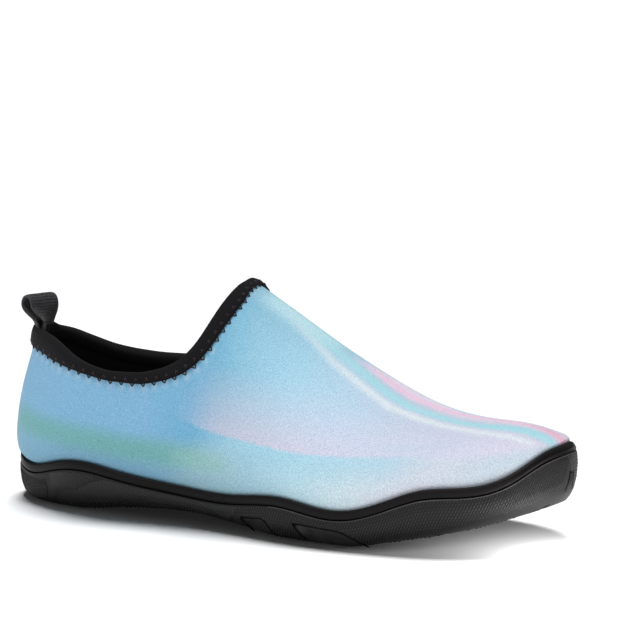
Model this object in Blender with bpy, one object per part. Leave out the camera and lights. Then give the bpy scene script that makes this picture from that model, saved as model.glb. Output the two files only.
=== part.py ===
"""A slip-on water shoe for the right foot, in metres: outsole, insole, upper, collar binding and pull loop.

+X points to the toe, +Y to the inner side of the foot and +Z up, with the floor at z = 0.
The tables are in millimetres. Their x runs from the back of the heel, and y from a line through the toe's tip.
"""

import math
from collections import namedtuple

import bmesh
import bpy
import numpy as np
from mathutils import Vector
from mathutils.bvhtree import BVHTree

MM = 0.001

# Driving sizes, in millimetres
LENGTH = 250.0
GAP = 0.3
UPPER_WALL = 2.5
RIM_WALL = 1.8
BAND_HEIGHT = 3.3
BAND_GROOVE = 1.1
BAND_GROOVE_DEPTH = 0.9
INSOLE_THICKNESS = 3.5
BINDING_CLOTH = 1.0
BINDING_GAP = 0.5
BINDING_GAP_IN = 0.6
BINDING_STEP = 7.0
BINDING_DEPTH_OUT = 3.0
BINDING_DEPTH_IN = 4.2
WEBBING_WIDTH = 14.0
WEBBING_THICKNESS = 1.3
TREAD_GROOVE_WIDTH = 1.5
TREAD_GROOVE_DEPTH = 1.0
DRAIN_HOLE_DIAMETER = 3.2
THROAT_X = 106.5
ROWS_UP_THE_WALL = 10
FRAME_X = 124.4
FRAME_Y = -4.4

# The rim's outline in plan: x, and y on the outer and inner side of the foot
Plan = namedtuple("Plan", "x outer inner")
PLAN = [
    Plan(0, 6.5, 6.5),
    Plan(6, -10.8, 23.4),
    Plan(20, -21.8, 34.8),
    Plan(45, -30.4, 39.6),
    Plan(75, -33.0, 33.6),
    Plan(103, -36.2, 28.6),
    Plan(134, -43.9, 32.0),
    Plan(158, -48.8, 38.2),
    Plan(178, -49.8, 41.0),
    Plan(200, -46.2, 39.8),
    Plan(221, -38.3, 34.4),
    Plan(236, -27.0, 25.8),
    Plan(246, -13.6, 14.2),
    Plan(LENGTH, 0.5, 0.5),
]

# Heights along the sole: the rim that laps the upper, its wave the same on both sides
Rim = namedtuple("Rim", "x z")
RIM = [
    Rim(0, 19.2),
    Rim(8, 16.6),
    Rim(17, 15.7),
    Rim(31, 18.9),
    Rim(45, 20.6),
    Rim(66, 18.1),
    Rim(90, 15.7),
    Rim(120, 15.1),
    Rim(145, 17.3),
    Rim(168, 14.9),
    Rim(178, 15.7),
    Rim(192, 20.2),
    Rim(206, 25.1),
    Rim(225, 26.7),
    Rim(237, 31.4),
    Rim(246, 38.6),
    Rim(LENGTH, 40.6),
]

# The sole's underside and the floor of its cup, with flat spots under the heel and the ball
Base = namedtuple("Base", "x tread floor")
BASE = [
    Base(0, 2.6, 9.4),
    Base(12, 0.0, 8.6),
    Base(48, 0.0, 8.2),
    Base(72, 3.2, 9.4),
    Base(97, 5.2, 10.6),
    Base(122, 3.0, 8.6),
    Base(144, 0.0, 6.0),
    Base(172, 0.0, 5.6),
    Base(198, 4.4, 10.0),
    Base(220, 9.4, 15.4),
    Base(238, 16.6, 23.0),
    Base(LENGTH, 23.6, 30.0),
]

# The side wall under the band: share of its height, and how far it lies inside the rim's outline
Wall = namedtuple("Wall", "share inset")
WALL = [
    Wall(0.00, 6.2),
    Wall(0.07, 4.1),
    Wall(0.20, 2.1),
    Wall(0.42, 0.7),
    Wall(0.72, 0.0),
    Wall(1.00, 0.0),
]

# The last's cross-sections above the rim: height and y of the top line, then how much of the height the wall rises
# before it turns in, and how far the top reaches out. Behind the throat the top line is the ankle's, and the collar
# cuts the section below it. The lean moves each section sideways, per millimetre of height.
Section = namedtuple("Section", "x top y rise reach lean")
SECTIONS = [
    Section(0, 140.0, 5.0, 0.36, 0.84, -0.07),
    Section(35, 134.0, 4.4, 0.36, 0.66, -0.07),
    Section(65, 122.0, 4.2, 0.38, 0.54, -0.04),
    Section(90, 105.0, 4.3, 0.43, 0.60, -0.01),
    Section(THROAT_X, 94.6, 4.4, 0.47, 0.68, 0.0),
    Section(125, 83.6, 4.6, 0.47, 0.66, 0.0),
    Section(146, 71.3, 5.0, 0.46, 0.62, 0.0),
    Section(167, 61.0, 5.4, 0.46, 0.58, 0.0),
    Section(188, 52.4, 5.6, 0.48, 0.58, 0.0),
    Section(208, 47.4, 5.2, 0.50, 0.60, 0.0),
    Section(228, 45.3, 3.8, 0.52, 0.62, 0.0),
    Section(240, 43.2, 2.0, 0.54, 0.62, 0.0),
    Section(LENGTH, 41.6, 0.5, 0.56, 0.62, 0.0),
]

# How far the wall stands outside its foot, by its height above the rim: round the heel, and along the sides
Swell = namedtuple("Swell", "height heel side")
SWELL = [
    Swell(0, 0.0, 0.0),
    Swell(1.2, 1.9, 0.8),
    Swell(3, 3.0, 1.4),
    Swell(7, 3.4, 1.9),
    Swell(16, 2.5, 1.6),
    Swell(27, 0.3, 0.9),
    Swell(36, -2.3, 0.2),
    Swell(43, -4.4, 0.0),
    Swell(52, -5.9, 0.0),
    Swell(120, -8.0, 0.0),
]
HEEL_SHAPE_ENDS = 62.0
TOE_SWELL_FADES = 40.0
SWELL_KEPT_TO = 0.4
ROWS_CROWD_LOW = 1.3

# Height of the collar's edge on the outer and inner side of the foot, from the heel to the throat
Collar = namedtuple("Collar", "x outer inner")
COLLAR = [
    Collar(0, 69.2, 69.2),
    Collar(10, 68.7, 66.6),
    Collar(20, 67.6, 62.4),
    Collar(30, 64.9, 58.6),
    Collar(40, 61.4, 56.8),
    Collar(50, 58.8, 56.2),
    Collar(60, 57.4, 56.6),
    Collar(70, 57.6, 57.6),
    Collar(80, 59.6, 59.6),
    Collar(88, 62.9, 62.9),
    Collar(93, 66.8, 66.8),
    Collar(97.5, 72.4, 72.4),
    Collar(101, 79.2, 79.2),
    Collar(104.2, 87.2, 87.2),
    Collar(105.6, 91.2, 91.2),
    Collar(THROAT_X, 94.6, 94.6),
]

# The webbing's middle line: forward of the binding's inner face at the heel, and above the collar's edge.
# The loop sits a little to the outer side of the collar's rearmost point.
LoopPoint = namedtuple("LoopPoint", "forward up")
LOOP = [
    LoopPoint(0.95, -8.0),
    LoopPoint(0.95, -0.9),
    LoopPoint(0.75, 0.9),
    LoopPoint(-0.4, 2.4),
    LoopPoint(-2.4, 3.4),
    LoopPoint(-4.5, 4.9),
    LoopPoint(-5.9, 7.4),
    LoopPoint(-6.2, 10.4),
    LoopPoint(-5.4, 12.4),
    LoopPoint(-4.0, 13.6),
    LoopPoint(-2.6, 13.0),
    LoopPoint(-1.8, 11.7),
    LoopPoint(-1.0, 8.8),
    LoopPoint(0.0, 5.5),
    LoopPoint(1.4, 2.2),
    LoopPoint(2.45, -0.6),
    LoopPoint(2.55, -8.0),
]
LOOP_SIDE = -3.2
LOOP_TWIST = math.radians(22)
LOOP_TWIST_FROM = 2.5
LOOP_TWIST_TO = 10.0

# Grooves of the tread, in plan: each chevron from its outer arm round its tip to its inner arm
Groove = namedtuple("Groove", "x y")
CHEVRONS = [
    [Groove(181.7, -46), Groove(200.0, -31.2), Groove(223.4, -15.7), Groove(238.3, -7.6), Groove(244.0, -3.2),
     Groove(244.4, -0.8), Groove(241.0, 2.6), Groove(223.0, 12.6), Groove(202.3, 25.1), Groove(183.0, 38)],
    [Groove(160.0, -46), Groove(176.6, -33.8), Groove(193.3, -22.0), Groove(211.0, -12.8), Groove(224.7, -6.9),
     Groove(229.6, -4.0), Groove(229.4, -2.4), Groove(224.0, -0.4), Groove(206.9, 6.6), Groove(187.2, 18.3),
     Groove(160.0, 36)],
    [Groove(148.0, -41), Groove(170.1, -25.0), Groove(190.2, -14.0), Groove(208.5, -7.2), Groove(213.1, -4.8),
     Groove(213.0, -3.0), Groove(208.1, -0.4), Groove(186.0, 11.0), Groove(171.0, 18.7), Groove(145.0, 34)],
    [Groove(130.0, -37), Groove(141.0, -31.0), Groove(171.8, -14.4), Groove(189.7, -6.9), Groove(194.9, -4.2),
     Groove(194.8, -2.8), Groove(190.1, -1.1), Groove(170.3, 6.8), Groove(151.1, 16.3), Groove(130.0, 29)],
]
TOE_ARCS = [
    [Groove(245, -9.4), Groove(234, -16.6), Groove(221, -27.0), Groove(208.3, -39.1)],
    [Groove(245, 8.4), Groove(236, 15.4), Groove(224, 23.6), Groove(210.3, 31.4)],
]

# Nested egg-shaped grooves under the heel: where each ends in front and behind, its half width and its middle line
Oval = namedtuple("Oval", "front back half_width y")
HEEL_OVALS = [
    Oval(94.5, 6.2, 21.4, 4.2),
    Oval(86.2, 10.2, 17.4, 4.3),
    Oval(77.4, 14.2, 13.3, 4.4),
    Oval(68.4, 18.4, 9.3, 4.5),
    Oval(59.0, 23.0, 5.4, 4.6),
]
OVAL_TAPER = 0.12

DRAIN_HOLES = [
    Groove(235.3, -1.5),
    Groove(221.5, -12.9),
    Groove(207.0, -20.2),
    Groove(191.2, -30.9),
    Groove(220.6, 7.2),
    Groove(204.8, 15.8),
    Groove(188.8, 25.7),
    Groove(175.4, -3.5),
    Groove(163.6, 2.6),
    Groove(162.7, -11.8),
]
MOULD_MARK = Groove(134.4, 7.5)
MOULD_MARK_DIAMETER = 7.5

# Two flats let into the outer side's wall at the waist: how low and how high each reaches along the shoe
Notch = namedtuple("Notch", "x low high")
NOTCHES = [
    [Notch(125.3, 6.5, 6.9), Notch(127.6, 4.1, 7.1), Notch(131.0, -1, 7.3), Notch(136.3, -1, 7.7),
     Notch(141.0, -1, 2.6), Notch(143.0, -1, -0.5)],
    [Notch(151.7, 7.6, 8.0), Notch(156.0, 2.8, 7.8), Notch(159.0, -1, 7.7), Notch(165.0, -1, 7.4),
     Notch(172.0, -1, 7.0), Notch(180.0, -1, 3.6), Notch(184.0, -1, -0.5)],
]
# The flat's depth under the wall, from its lower edge to its upper one
NotchDepth = namedtuple("NotchDepth", "share depth")
NOTCH_DEPTHS = [NotchDepth(0.0, 0.3), NotchDepth(0.5, 1.1), NotchDepth(1.0, 0.8)]


def clear_scene():
    for obj in list(bpy.data.objects):
        bpy.data.objects.remove(obj)


def column(table, name):
    return np.array([getattr(row, name) for row in table], float)


def flowing(table, name, at):
    """A natural cubic spline through a column of the table, against its first column."""
    x, y = np.array([row[0] for row in table], float), column(table, name)
    step, slope = np.diff(x), np.diff(y) / np.diff(x)
    system = np.eye(len(x))
    right = np.zeros(len(x))
    for i in range(1, len(x) - 1):
        system[i, i - 1 : i + 2] = step[i - 1], 2 * (step[i - 1] + step[i]), step[i]
        right[i] = 6 * (slope[i] - slope[i - 1])
    bend = np.linalg.solve(system, right)
    at = np.clip(at, x[0], x[-1])
    i = np.clip(np.searchsorted(x, at) - 1, 0, len(x) - 2)
    a, b = (x[i + 1] - at) / step[i], (at - x[i]) / step[i]
    curve = ((a**3 - a) * bend[i] + (b**3 - b) * bend[i + 1]) * step[i] ** 2 / 6
    return a * y[i] + b * y[i + 1] + curve


def level(table, name, at):
    """A cubic through a column that never overshoots, so a flat stretch stays flat."""
    x, y = np.array([row[0] for row in table], float), column(table, name)
    slope = np.diff(y) / np.diff(x)
    tangent = np.zeros(len(x))
    same_sign = slope[:-1] * slope[1:] > 0
    tangent[1:-1][same_sign] = (2 / (1 / slope[:-1][same_sign] + 1 / slope[1:][same_sign]))
    tangent[0], tangent[-1] = slope[0], slope[-1]
    at = np.clip(at, x[0], x[-1])
    i = np.clip(np.searchsorted(x, at) - 1, 0, len(x) - 2)
    step = x[i + 1] - x[i]
    t = (at - x[i]) / step
    return (
        (2 * t**3 - 3 * t**2 + 1) * y[i]
        + (t**3 - 2 * t**2 + t) * step * tangent[i]
        + (3 * t**2 - 2 * t**3) * y[i + 1]
        + (t**3 - t**2) * step * tangent[i + 1]
    )


def smooth_step(value, start, end):
    t = np.clip((value - start) / (end - start), 0, 1)
    return t * t * (3 - 2 * t)


def closed_spline(points, count):
    """A smooth closed curve through the points, sampled count times."""
    ring = np.array(points, float)
    chord = np.linalg.norm(np.roll(ring, -1, 0) - ring, axis=1)
    n = len(ring)
    slope = (np.roll(ring, -1, 0) - ring) / chord[:, None]
    system = np.zeros((n, n))
    right = np.zeros((n, 2))
    for i in range(n):
        before, after = chord[i - 1], chord[i]
        system[i, i - 1] += after
        system[i, i] += 2 * (before + after)
        system[i, (i + 1) % n] += before
        right[i] = 3 * (after * slope[i - 1] + before * slope[i])
    tangent = np.linalg.solve(system, right)
    knots = np.concatenate([[0], np.cumsum(chord)])
    at = np.linspace(0, knots[-1], count, endpoint=False)
    i = np.clip(np.searchsorted(knots, at, side="right") - 1, 0, n - 1)
    h = chord[i][:, None]
    t = (at - knots[i])[:, None] / h
    j = (i + 1) % n
    return (
        (2 * t**3 - 3 * t**2 + 1) * ring[i]
        + (t**3 - 2 * t**2 + t) * h * tangent[i]
        + (3 * t**2 - 2 * t**3) * ring[j]
        + (t**3 - t**2) * h * tangent[j]
    )


def outline(count=4000):
    """The rim's outline from the heel's back, along the outer side to the toe and back, with outward normals."""
    outer = [(row.x, row.outer) for row in PLAN]
    inner = [(row.x, row.inner) for row in PLAN[-2:0:-1]]
    curve = closed_spline(outer + inner, count)
    along = np.roll(curve, -1, 0) - np.roll(curve, 1, 0)
    normal = np.stack([along[:, 1], -along[:, 0]], 1)
    normal /= np.linalg.norm(normal, axis=1)[:, None]
    if normal[0, 0] > 0:
        normal = -normal
    return curve, normal


def station_shares():
    """Places along the shoe, from 0 at the heel's back to 1 at the toe's tip, closer where the shape turns."""
    quarter = np.pi / 2
    heel = 58 * (1 - np.cos(np.linspace(0, quarter, 10)))
    middle = np.linspace(58, 82, 4)
    throat = THROAT_X - (THROAT_X - 82) * np.linspace(1, 0, 11) ** 2.2
    vamp = np.linspace(THROAT_X, 208, 11)
    toe = 208 + (LENGTH - 208) * np.sin(np.linspace(0, quarter, 9))
    places = np.concatenate([heel, middle[1:], throat[1:], vamp[1:], toe[1:]])
    return places / LENGTH


class Last:
    """The shoe's form. Ring point k runs from the heel's back by the outer side to the toe and back by the inner."""

    def __init__(self):
        curve, normal = outline()
        foot = curve - normal * (RIM_WALL + GAP)
        half = len(curve) // 2
        toe = int(np.argmax(foot[:, 0]))
        heel_x, toe_x = foot[0, 0], foot[toe, 0]
        self.stations = heel_x + station_shares() * (toe_x - heel_x)
        throat = np.argmin(abs(self.stations - THROAT_X))
        self.stations[throat] = THROAT_X
        self.count = len(self.stations) - 1
        picks = []
        for x in self.stations:
            picks.append(int(np.argmin(abs(foot[: toe + 1, 0] - x))))
        for x in self.stations[-2:0:-1]:
            picks.append(toe + int(np.argmin(abs(foot[toe:, 0] - x))))
        picks[0], picks[self.count] = 0, toe
        self.foot = foot[picks]
        self.normal = normal[picks]
        self.size = len(picks)
        self.x = np.array([self.stations[self.station(k)] for k in range(self.size)])
        self.foot[:, 0] = self.x
        self.floor = level(BASE, "floor", self.x) + GAP
        self.rim = flowing(RIM, "z", self.outline_x())
        self.top = flowing(SECTIONS, "top", self.x)
        self.middle = flowing(SECTIONS, "y", self.x)
        self.rise = flowing(SECTIONS, "rise", self.x)
        self.reach = flowing(SECTIONS, "reach", self.x)
        self.lean = level(SECTIONS, "lean", self.x)
        inner = np.arange(self.size) > self.count
        edge = np.where(inner, level(COLLAR, "inner", self.x), level(COLLAR, "outer", self.x))
        self.collar = np.minimum(edge, self.top)
        self.end = np.array([self.share_at(k, self.collar[k]) for k in range(self.size)])
        self.end[self.x >= THROAT_X - 1e-6] = 1.0

    def station(self, k):
        return k if k <= self.count else self.size - k

    def outline_x(self):
        return self.foot[:, 0] + self.normal[:, 0] * (RIM_WALL + GAP)

    def height(self, k, t):
        """Height at share t of the arch, from the rim to the top line."""
        low, high = self.rim[k], self.top[k]
        knee = low + self.rise[k] * (high - low)
        return low * (1 - t) ** 3 + 3 * knee * (1 - t) ** 2 * t + high * (3 * (1 - t) * t**2 + t**3)

    def share_at(self, k, z):
        t = np.linspace(0, 1, 400)
        return float(np.interp(z, self.height(k, t), t))

    def arch(self, k, t, outside=0.0):
        """The upper's outer face at share t of ring point k's arch."""
        z = self.height(k, t)
        width = (1 - t) ** 3 + 3 * (1 - t) ** 2 * t + 3 * self.reach[k] * (1 - t) * t**2
        above = z - self.rim[k]
        y = self.middle[k] + (self.foot[k, 1] - self.middle[k]) * width + self.lean[k] * above
        heel = 1 - smooth_step(self.x[k], 8, HEEL_SHAPE_ENDS)
        swell = heel * level(SWELL, "heel", above) + (1 - heel) * level(SWELL, "side", above)
        room = np.clip((self.top[k] - self.rim[k]) / TOE_SWELL_FADES, 0, 1)
        out = swell * room * (1 - smooth_step(t, SWELL_KEPT_TO, 1)) + outside
        return Vector((self.x[k] + self.normal[k, 0] * out, y + self.normal[k, 1] * out, z))

    def in_cup(self, k, share, outside=0.0):
        """The upper's outer face inside the sole's cup, from its floor to the rim."""
        z = self.floor[k] + (self.rim[k] - self.floor[k]) * share
        x, y = self.foot[k] + self.normal[k] * outside
        return Vector((x, y, z))

    def ring(self, offset):
        """The foot's outline moved out by offset, as x and y."""
        return self.foot + self.normal * offset


def to_frame(point):
    """From a table's millimetres to the shoe's own frame in metres."""
    return Vector(((point[0] - FRAME_X) * MM, (point[1] - FRAME_Y) * MM, point[2] * MM))


def new_object(name, points, faces, material):
    mesh = bpy.data.meshes.new(name)
    mesh.from_pydata([to_frame(p) for p in points], [], faces)
    mesh.validate()
    obj = bpy.data.objects.new(name, mesh)
    bpy.context.scene.collection.objects.link(obj)
    if material:
        mesh.materials.append(material)
    return obj


def principled(name, colour, roughness):
    material = bpy.data.materials.new(name)
    material.use_nodes = True
    shader = material.node_tree.nodes["Principled BSDF"]
    shader.inputs["Base Color"].default_value = (*colour, 1)
    shader.inputs["Roughness"].default_value = roughness
    shader.inputs["Metallic"].default_value = 0.0
    return material


def face_outwards(obj):
    mesh = bmesh.new()
    mesh.from_mesh(obj.data)
    bmesh.ops.recalc_face_normals(mesh, faces=mesh.faces)
    mesh.to_mesh(obj.data)
    mesh.free()


def shade(obj, sharp_degrees=40):
    obj.data.shade_smooth()
    obj.data.set_sharp_from_angle(angle=math.radians(sharp_degrees))


class Shell:
    """Points and faces gathered ring by ring round the shoe."""

    def __init__(self, last):
        self.last = last
        self.points = []
        self.faces = []

    def add_ring(self, points):
        start = len(self.points)
        self.points.extend(points)
        return start

    def join(self, lower, upper):
        n = self.last.size
        for k in range(n):
            after = (k + 1) % n
            self.faces.append((lower + k, lower + after, upper + after, upper + k))

    def fill(self, ring, rows, height):
        """Closes a ring with cross rows from its outer to its inner side, at the height given for each x."""
        n, size = self.last.count, self.last.size
        lines = []
        for station in range(n + 1):
            outer = ring + station
            inner = ring + (size - station) % size
            if outer == inner:
                lines.append([outer] * (rows + 1))
                continue
            a, b = self.points[outer], self.points[inner]
            line = [outer]
            for i in range(1, rows):
                x = a[0] + (b[0] - a[0]) * i / rows
                y = a[1] + (b[1] - a[1]) * i / rows
                line.append(len(self.points))
                self.points.append(Vector((x, y, float(height(x)))))
            lines.append(line + [inner])
        for here, there in zip(lines, lines[1:]):
            for i in range(rows):
                corners = [here[i], here[i + 1], there[i + 1], there[i]]
                face = [c for j, c in enumerate(corners) if c != corners[j - 1]]
                if len(face) > 2:
                    self.faces.append(tuple(face))


def tread_height(x):
    return level(BASE, "tread", x)


def floor_height(x):
    return level(BASE, "floor", x)


def build_outsole(last, rubber):
    """The moulded cup sole: tread, side wall, groove, band and rim, then down the inside to the cup's floor."""
    shell = Shell(last)
    outline_offset = RIM_WALL + GAP
    band_foot = last.rim - BAND_HEIGHT
    wall_top = band_foot - BAND_GROOVE
    rings = []
    for row in WALL:
        xy = last.ring(outline_offset - row.inset)
        low = tread_height(xy[:, 0])
        z = low + (wall_top - low) * row.share
        rings.append([Vector((p[0], p[1], h)) for p, h in zip(xy, z)])
    inside = BAND_GROOVE_DEPTH
    lip = 0.7
    for offset, z in (
        (outline_offset - inside, wall_top + 0.25),
        (outline_offset - inside, band_foot - 0.25),
        (outline_offset, band_foot),
        (outline_offset, last.rim - lip),
        (outline_offset - lip, last.rim),
    ):
        xy = last.ring(offset)
        rings.append([Vector((p[0], p[1], h)) for p, h in zip(xy, z)])
    inner = last.ring(GAP)
    rings.append([Vector((p[0], p[1], h)) for p, h in zip(inner, last.rim)])
    rings.append([Vector((p[0], p[1], h)) for p, h in zip(inner, last.floor - GAP)])
    starts = [shell.add_ring(ring) for ring in rings]
    for lower, upper in zip(starts, starts[1:]):
        shell.join(lower, upper)
    shell.fill(starts[0], 8, tread_height)
    shell.fill(starts[-1], 3, floor_height)
    sole = new_object("outsole", shell.points, shell.faces, rubber)
    face_outwards(sole)
    return sole


def eased_line(points, spacing):
    """A smooth line through the groove's points, with a point about every spacing millimetres."""
    ring = np.array(points, float)
    run = np.concatenate([[0], np.cumsum(np.linalg.norm(np.diff(ring, axis=0), axis=1))])
    at = np.linspace(0, run[-1], max(4, int(run[-1] / spacing)) + 1)
    at = np.unique(np.round(np.concatenate([at, run[1:-1]]), 3))
    keep = [0] + [i for i in range(1, len(at)) if at[i] - at[i - 1] > spacing * 0.3]
    at = at[keep]
    table = [(r, *p) for r, p in zip(run, ring)]
    Row = namedtuple("Row", "run x y")
    rows = [Row(*row) for row in table]
    return np.stack([level(rows, "x", at), level(rows, "y", at)], 1)


def groove_cutter(lines):
    """Ribs that follow the lines in plan and reach the groove's depth above the tread's underside."""
    points, faces = [], []
    for line, closed in lines:
        along = np.gradient(line, axis=0)
        if closed:
            along = np.roll(line, -1, 0) - np.roll(line, 1, 0)
        side = np.stack([-along[:, 1], along[:, 0]], 1)
        side *= TREAD_GROOVE_WIDTH / 2 / np.linalg.norm(side, axis=1)[:, None]
        start = len(points)
        for p, s in zip(line, side):
            top = float(tread_height(p[0])) + TREAD_GROOVE_DEPTH
            for sign, z in ((1, top), (-1, top), (-1, -4), (1, -4)):
                points.append((p[0] + sign * s[0], p[1] + sign * s[1], z))
        n = len(line)
        for i in range(n if closed else n - 1):
            a, b = start + 4 * i, start + 4 * ((i + 1) % n)
            for j in range(4):
                faces.append((a + j, a + (j + 1) % 4, b + (j + 1) % 4, b + j))
        if not closed:
            faces.append(tuple(start + j for j in range(4)))
            faces.append(tuple(start + 4 * (n - 1) + 3 - j for j in range(4)))
    cutter = new_object("tread_groove_cutter", points, faces, None)
    face_outwards(cutter)
    return cutter


def oval_line(oval):
    """An egg-shaped line round the heel's middle, a little wider behind."""
    centre, half_length = (oval.front + oval.back) / 2, (oval.front - oval.back) / 2
    turn = np.linspace(0, 2 * np.pi, 12 + int(half_length / 2.6), endpoint=False)
    x = centre + half_length * np.cos(turn)
    y = oval.y + oval.half_width * (1 - OVAL_TAPER * np.cos(turn)) * np.sin(turn)
    return np.stack([x, y], 1)


def hole_cutter(name, places, diameter, sides, bottom, depth):
    points, faces = [], []
    for place in places:
        start = len(points)
        top = float(tread_height(place.x)) + depth
        for z in (bottom, top):
            for i in range(sides):
                turn = 2 * math.pi * i / sides
                x = place.x + diameter / 2 * math.cos(turn)
                points.append((x, place.y + diameter / 2 * math.sin(turn), z))
        for i in range(sides):
            after = (i + 1) % sides
            faces.append((start + i, start + after, start + sides + after, start + sides + i))
        faces.append(tuple(start + sides - 1 - i for i in range(sides)))
        faces.append(tuple(start + sides + i for i in range(sides)))
    cutter = new_object(name, points, faces, None)
    face_outwards(cutter)
    return cutter


def outer_wall(last, x, z):
    """The y of the side wall's outer face on the outer side of the foot."""
    ks = np.arange(last.count + 1)
    foot = last.foot[ks] + last.normal[ks] * (RIM_WALL + GAP)
    edge = np.interp(x, foot[:, 0], foot[:, 1])
    top = np.interp(x, foot[:, 0], last.rim[ks]) - BAND_HEIGHT - BAND_GROOVE
    low = float(tread_height(x))
    inset = np.interp((z - low) / (top - low), column(WALL, "share"), column(WALL, "inset"))
    return edge + inset


def notch_cutter(last):
    """Prisms that reach in from the outer side of the foot, each ending in a flat."""
    points, faces = [], []
    rows = 2 * len(NOTCH_DEPTHS)
    for table in NOTCHES:
        start = len(points)
        for place in table:
            column_of = [(place.low + (place.high - place.low) * d.share, d.depth) for d in NOTCH_DEPTHS]
            for z, depth in column_of:
                points.append((place.x, outer_wall(last, place.x, z) + depth, z))
            for z, _ in column_of[::-1]:
                points.append((place.x, -60, z))
        for i in range(len(table) - 1):
            a, b = start + rows * i, start + rows * (i + 1)
            for j in range(rows):
                faces.append((a + j, a + (j + 1) % rows, b + (j + 1) % rows, b + j))
        for end in (start, start + rows * (len(table) - 1)):
            for j in range(rows // 2 - 1):
                faces.append((end + j, end + j + 1, end + rows - 2 - j, end + rows - 1 - j))
    cutter = new_object("side_notch_cutter", points, faces, None)
    face_outwards(cutter)
    return cutter


def cut(obj, cutter):
    cutter.hide_render = True
    cutter.display_type = "WIRE"
    modifier = obj.modifiers.new(cutter.name, "BOOLEAN")
    modifier.operation = "DIFFERENCE"
    modifier.object = cutter


def cut_tread(sole, last):
    cut(sole, notch_cutter(last))
    lines = [(eased_line(line, 8.0), False) for line in CHEVRONS + TOE_ARCS]
    lines += [(oval_line(oval), True) for oval in HEEL_OVALS]
    cut(sole, groove_cutter(lines))
    cut(sole, hole_cutter("drain_hole_cutter", DRAIN_HOLES, DRAIN_HOLE_DIAMETER, 8, -5, 30))
    cut(sole, hole_cutter("mould_mark_cutter", [MOULD_MARK], MOULD_MARK_DIAMETER, 12, -5, 0.6))


def build_upper(last, cloth):
    """One stretch-cloth wall, open at the collar and underneath, from the cup's floor to the collar's edge."""
    rows = ROWS_UP_THE_WALL
    points, index = [], {}
    ridge = {}
    for k in range(last.size):
        for row in range(rows + 2):
            station = last.station(k)
            on_top_line = row == rows + 1 and last.end[k] == 1.0
            if on_top_line and station in ridge:
                index[k, row] = ridge[station]
                continue
            index[k, row] = len(points)
            share = (max(row - 1, 0) / rows) ** ROWS_CROWD_LOW
            points.append(last.arch(k, last.end[k] * share) if row else last.in_cup(k, 0.0))
            if on_top_line:
                ridge[station] = index[k, row]
    faces = []
    for k in range(last.size):
        after = (k + 1) % last.size
        for row in range(rows + 1):
            corners = [index[k, row], index[after, row], index[after, row + 1], index[k, row + 1]]
            face = [c for i, c in enumerate(corners) if c != corners[i - 1]]
            faces.append(tuple(face))
    upper = new_object("upper", points, faces, cloth)
    face_outwards(upper)
    wall = upper.modifiers.new("wall", "SOLIDIFY")
    wall.thickness = UPPER_WALL * MM
    wall.offset = -1
    wall.use_even_offset = True
    wall.use_quality_normals = True
    collar_edge = [k for k in range(last.size) if last.x[k] <= THROAT_X + 1e-6]
    return upper, [index[k, rows + 1] for k in collar_edge]


def wall_faces(upper):
    """The upper's outer face and its inner face, each as a tree for nearest points, and the inner face's points."""
    graph = bpy.context.evaluated_depsgraph_get()
    solid = upper.evaluated_get(graph).to_mesh()
    count = len(upper.data.vertices)
    points = [v.co.copy() for v in solid.vertices]
    outer, inner = [], []
    for face in solid.polygons:
        corners = list(face.vertices)
        if max(corners) < count:
            outer.append(corners)
        elif min(corners) >= count:
            inner.append(corners)
    trees = [BVHTree.FromPolygons(points, faces) for faces in (outer, inner)]
    return trees, points[count:]


def collar_frames(upper, edge):
    """At each point of the collar's edge: its outer and inner corner, and the way down the cloth."""
    (outer, inner), inner_points = wall_faces(upper)
    places, insides = [], []
    for here, there in zip(edge, edge[1:] + edge[:1]):
        a, b = upper.data.vertices[here].co, upper.data.vertices[there].co
        pieces = 1 + int((b - a).length / (BINDING_STEP * MM))
        for i in range(pieces):
            places.append(a.lerp(b, i / pieces))
            insides.append(inner_points[here].lerp(inner_points[there], i / pieces))
    n = len(places)
    frames = []
    for i in range(n):
        along = (places[(i + 1) % n] - places[i - 1]).normalized()
        out = (places[i] - insides[i]).normalized()
        down = along.cross(out).normalized()
        probe = 3 * MM
        misses = [outer.find_nearest(places[i] + way * probe)[3] for way in (down, -down)]
        frames.append((places[i], insides[i], down if misses[0] < misses[1] else -down))
    return frames, outer, inner


def ordered_edge(last, edge):
    """The collar's edge as one loop: the outer side from the throat to the heel, then the inner side back."""
    ks = [k for k in range(last.size) if last.x[k] <= THROAT_X + 1e-6]
    outer = [(k, v) for k, v in zip(ks, edge) if k <= last.count]
    inner = [(k, v) for k, v in zip(ks, edge) if k > last.count]
    outer.sort(key=lambda pair: -pair[0])
    inner.sort(key=lambda pair: -pair[0])
    found = [v for _, v in outer] + [v for _, v in inner]
    return [v for i, v in enumerate(found) if v not in found[:i]]


def smoothed(vectors, passes=2):
    for _ in range(passes):
        n = len(vectors)
        vectors = [(vectors[i - 1] + 2 * vectors[i] + vectors[(i + 1) % n]).normalized() for i in range(n)]
    return vectors


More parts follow.
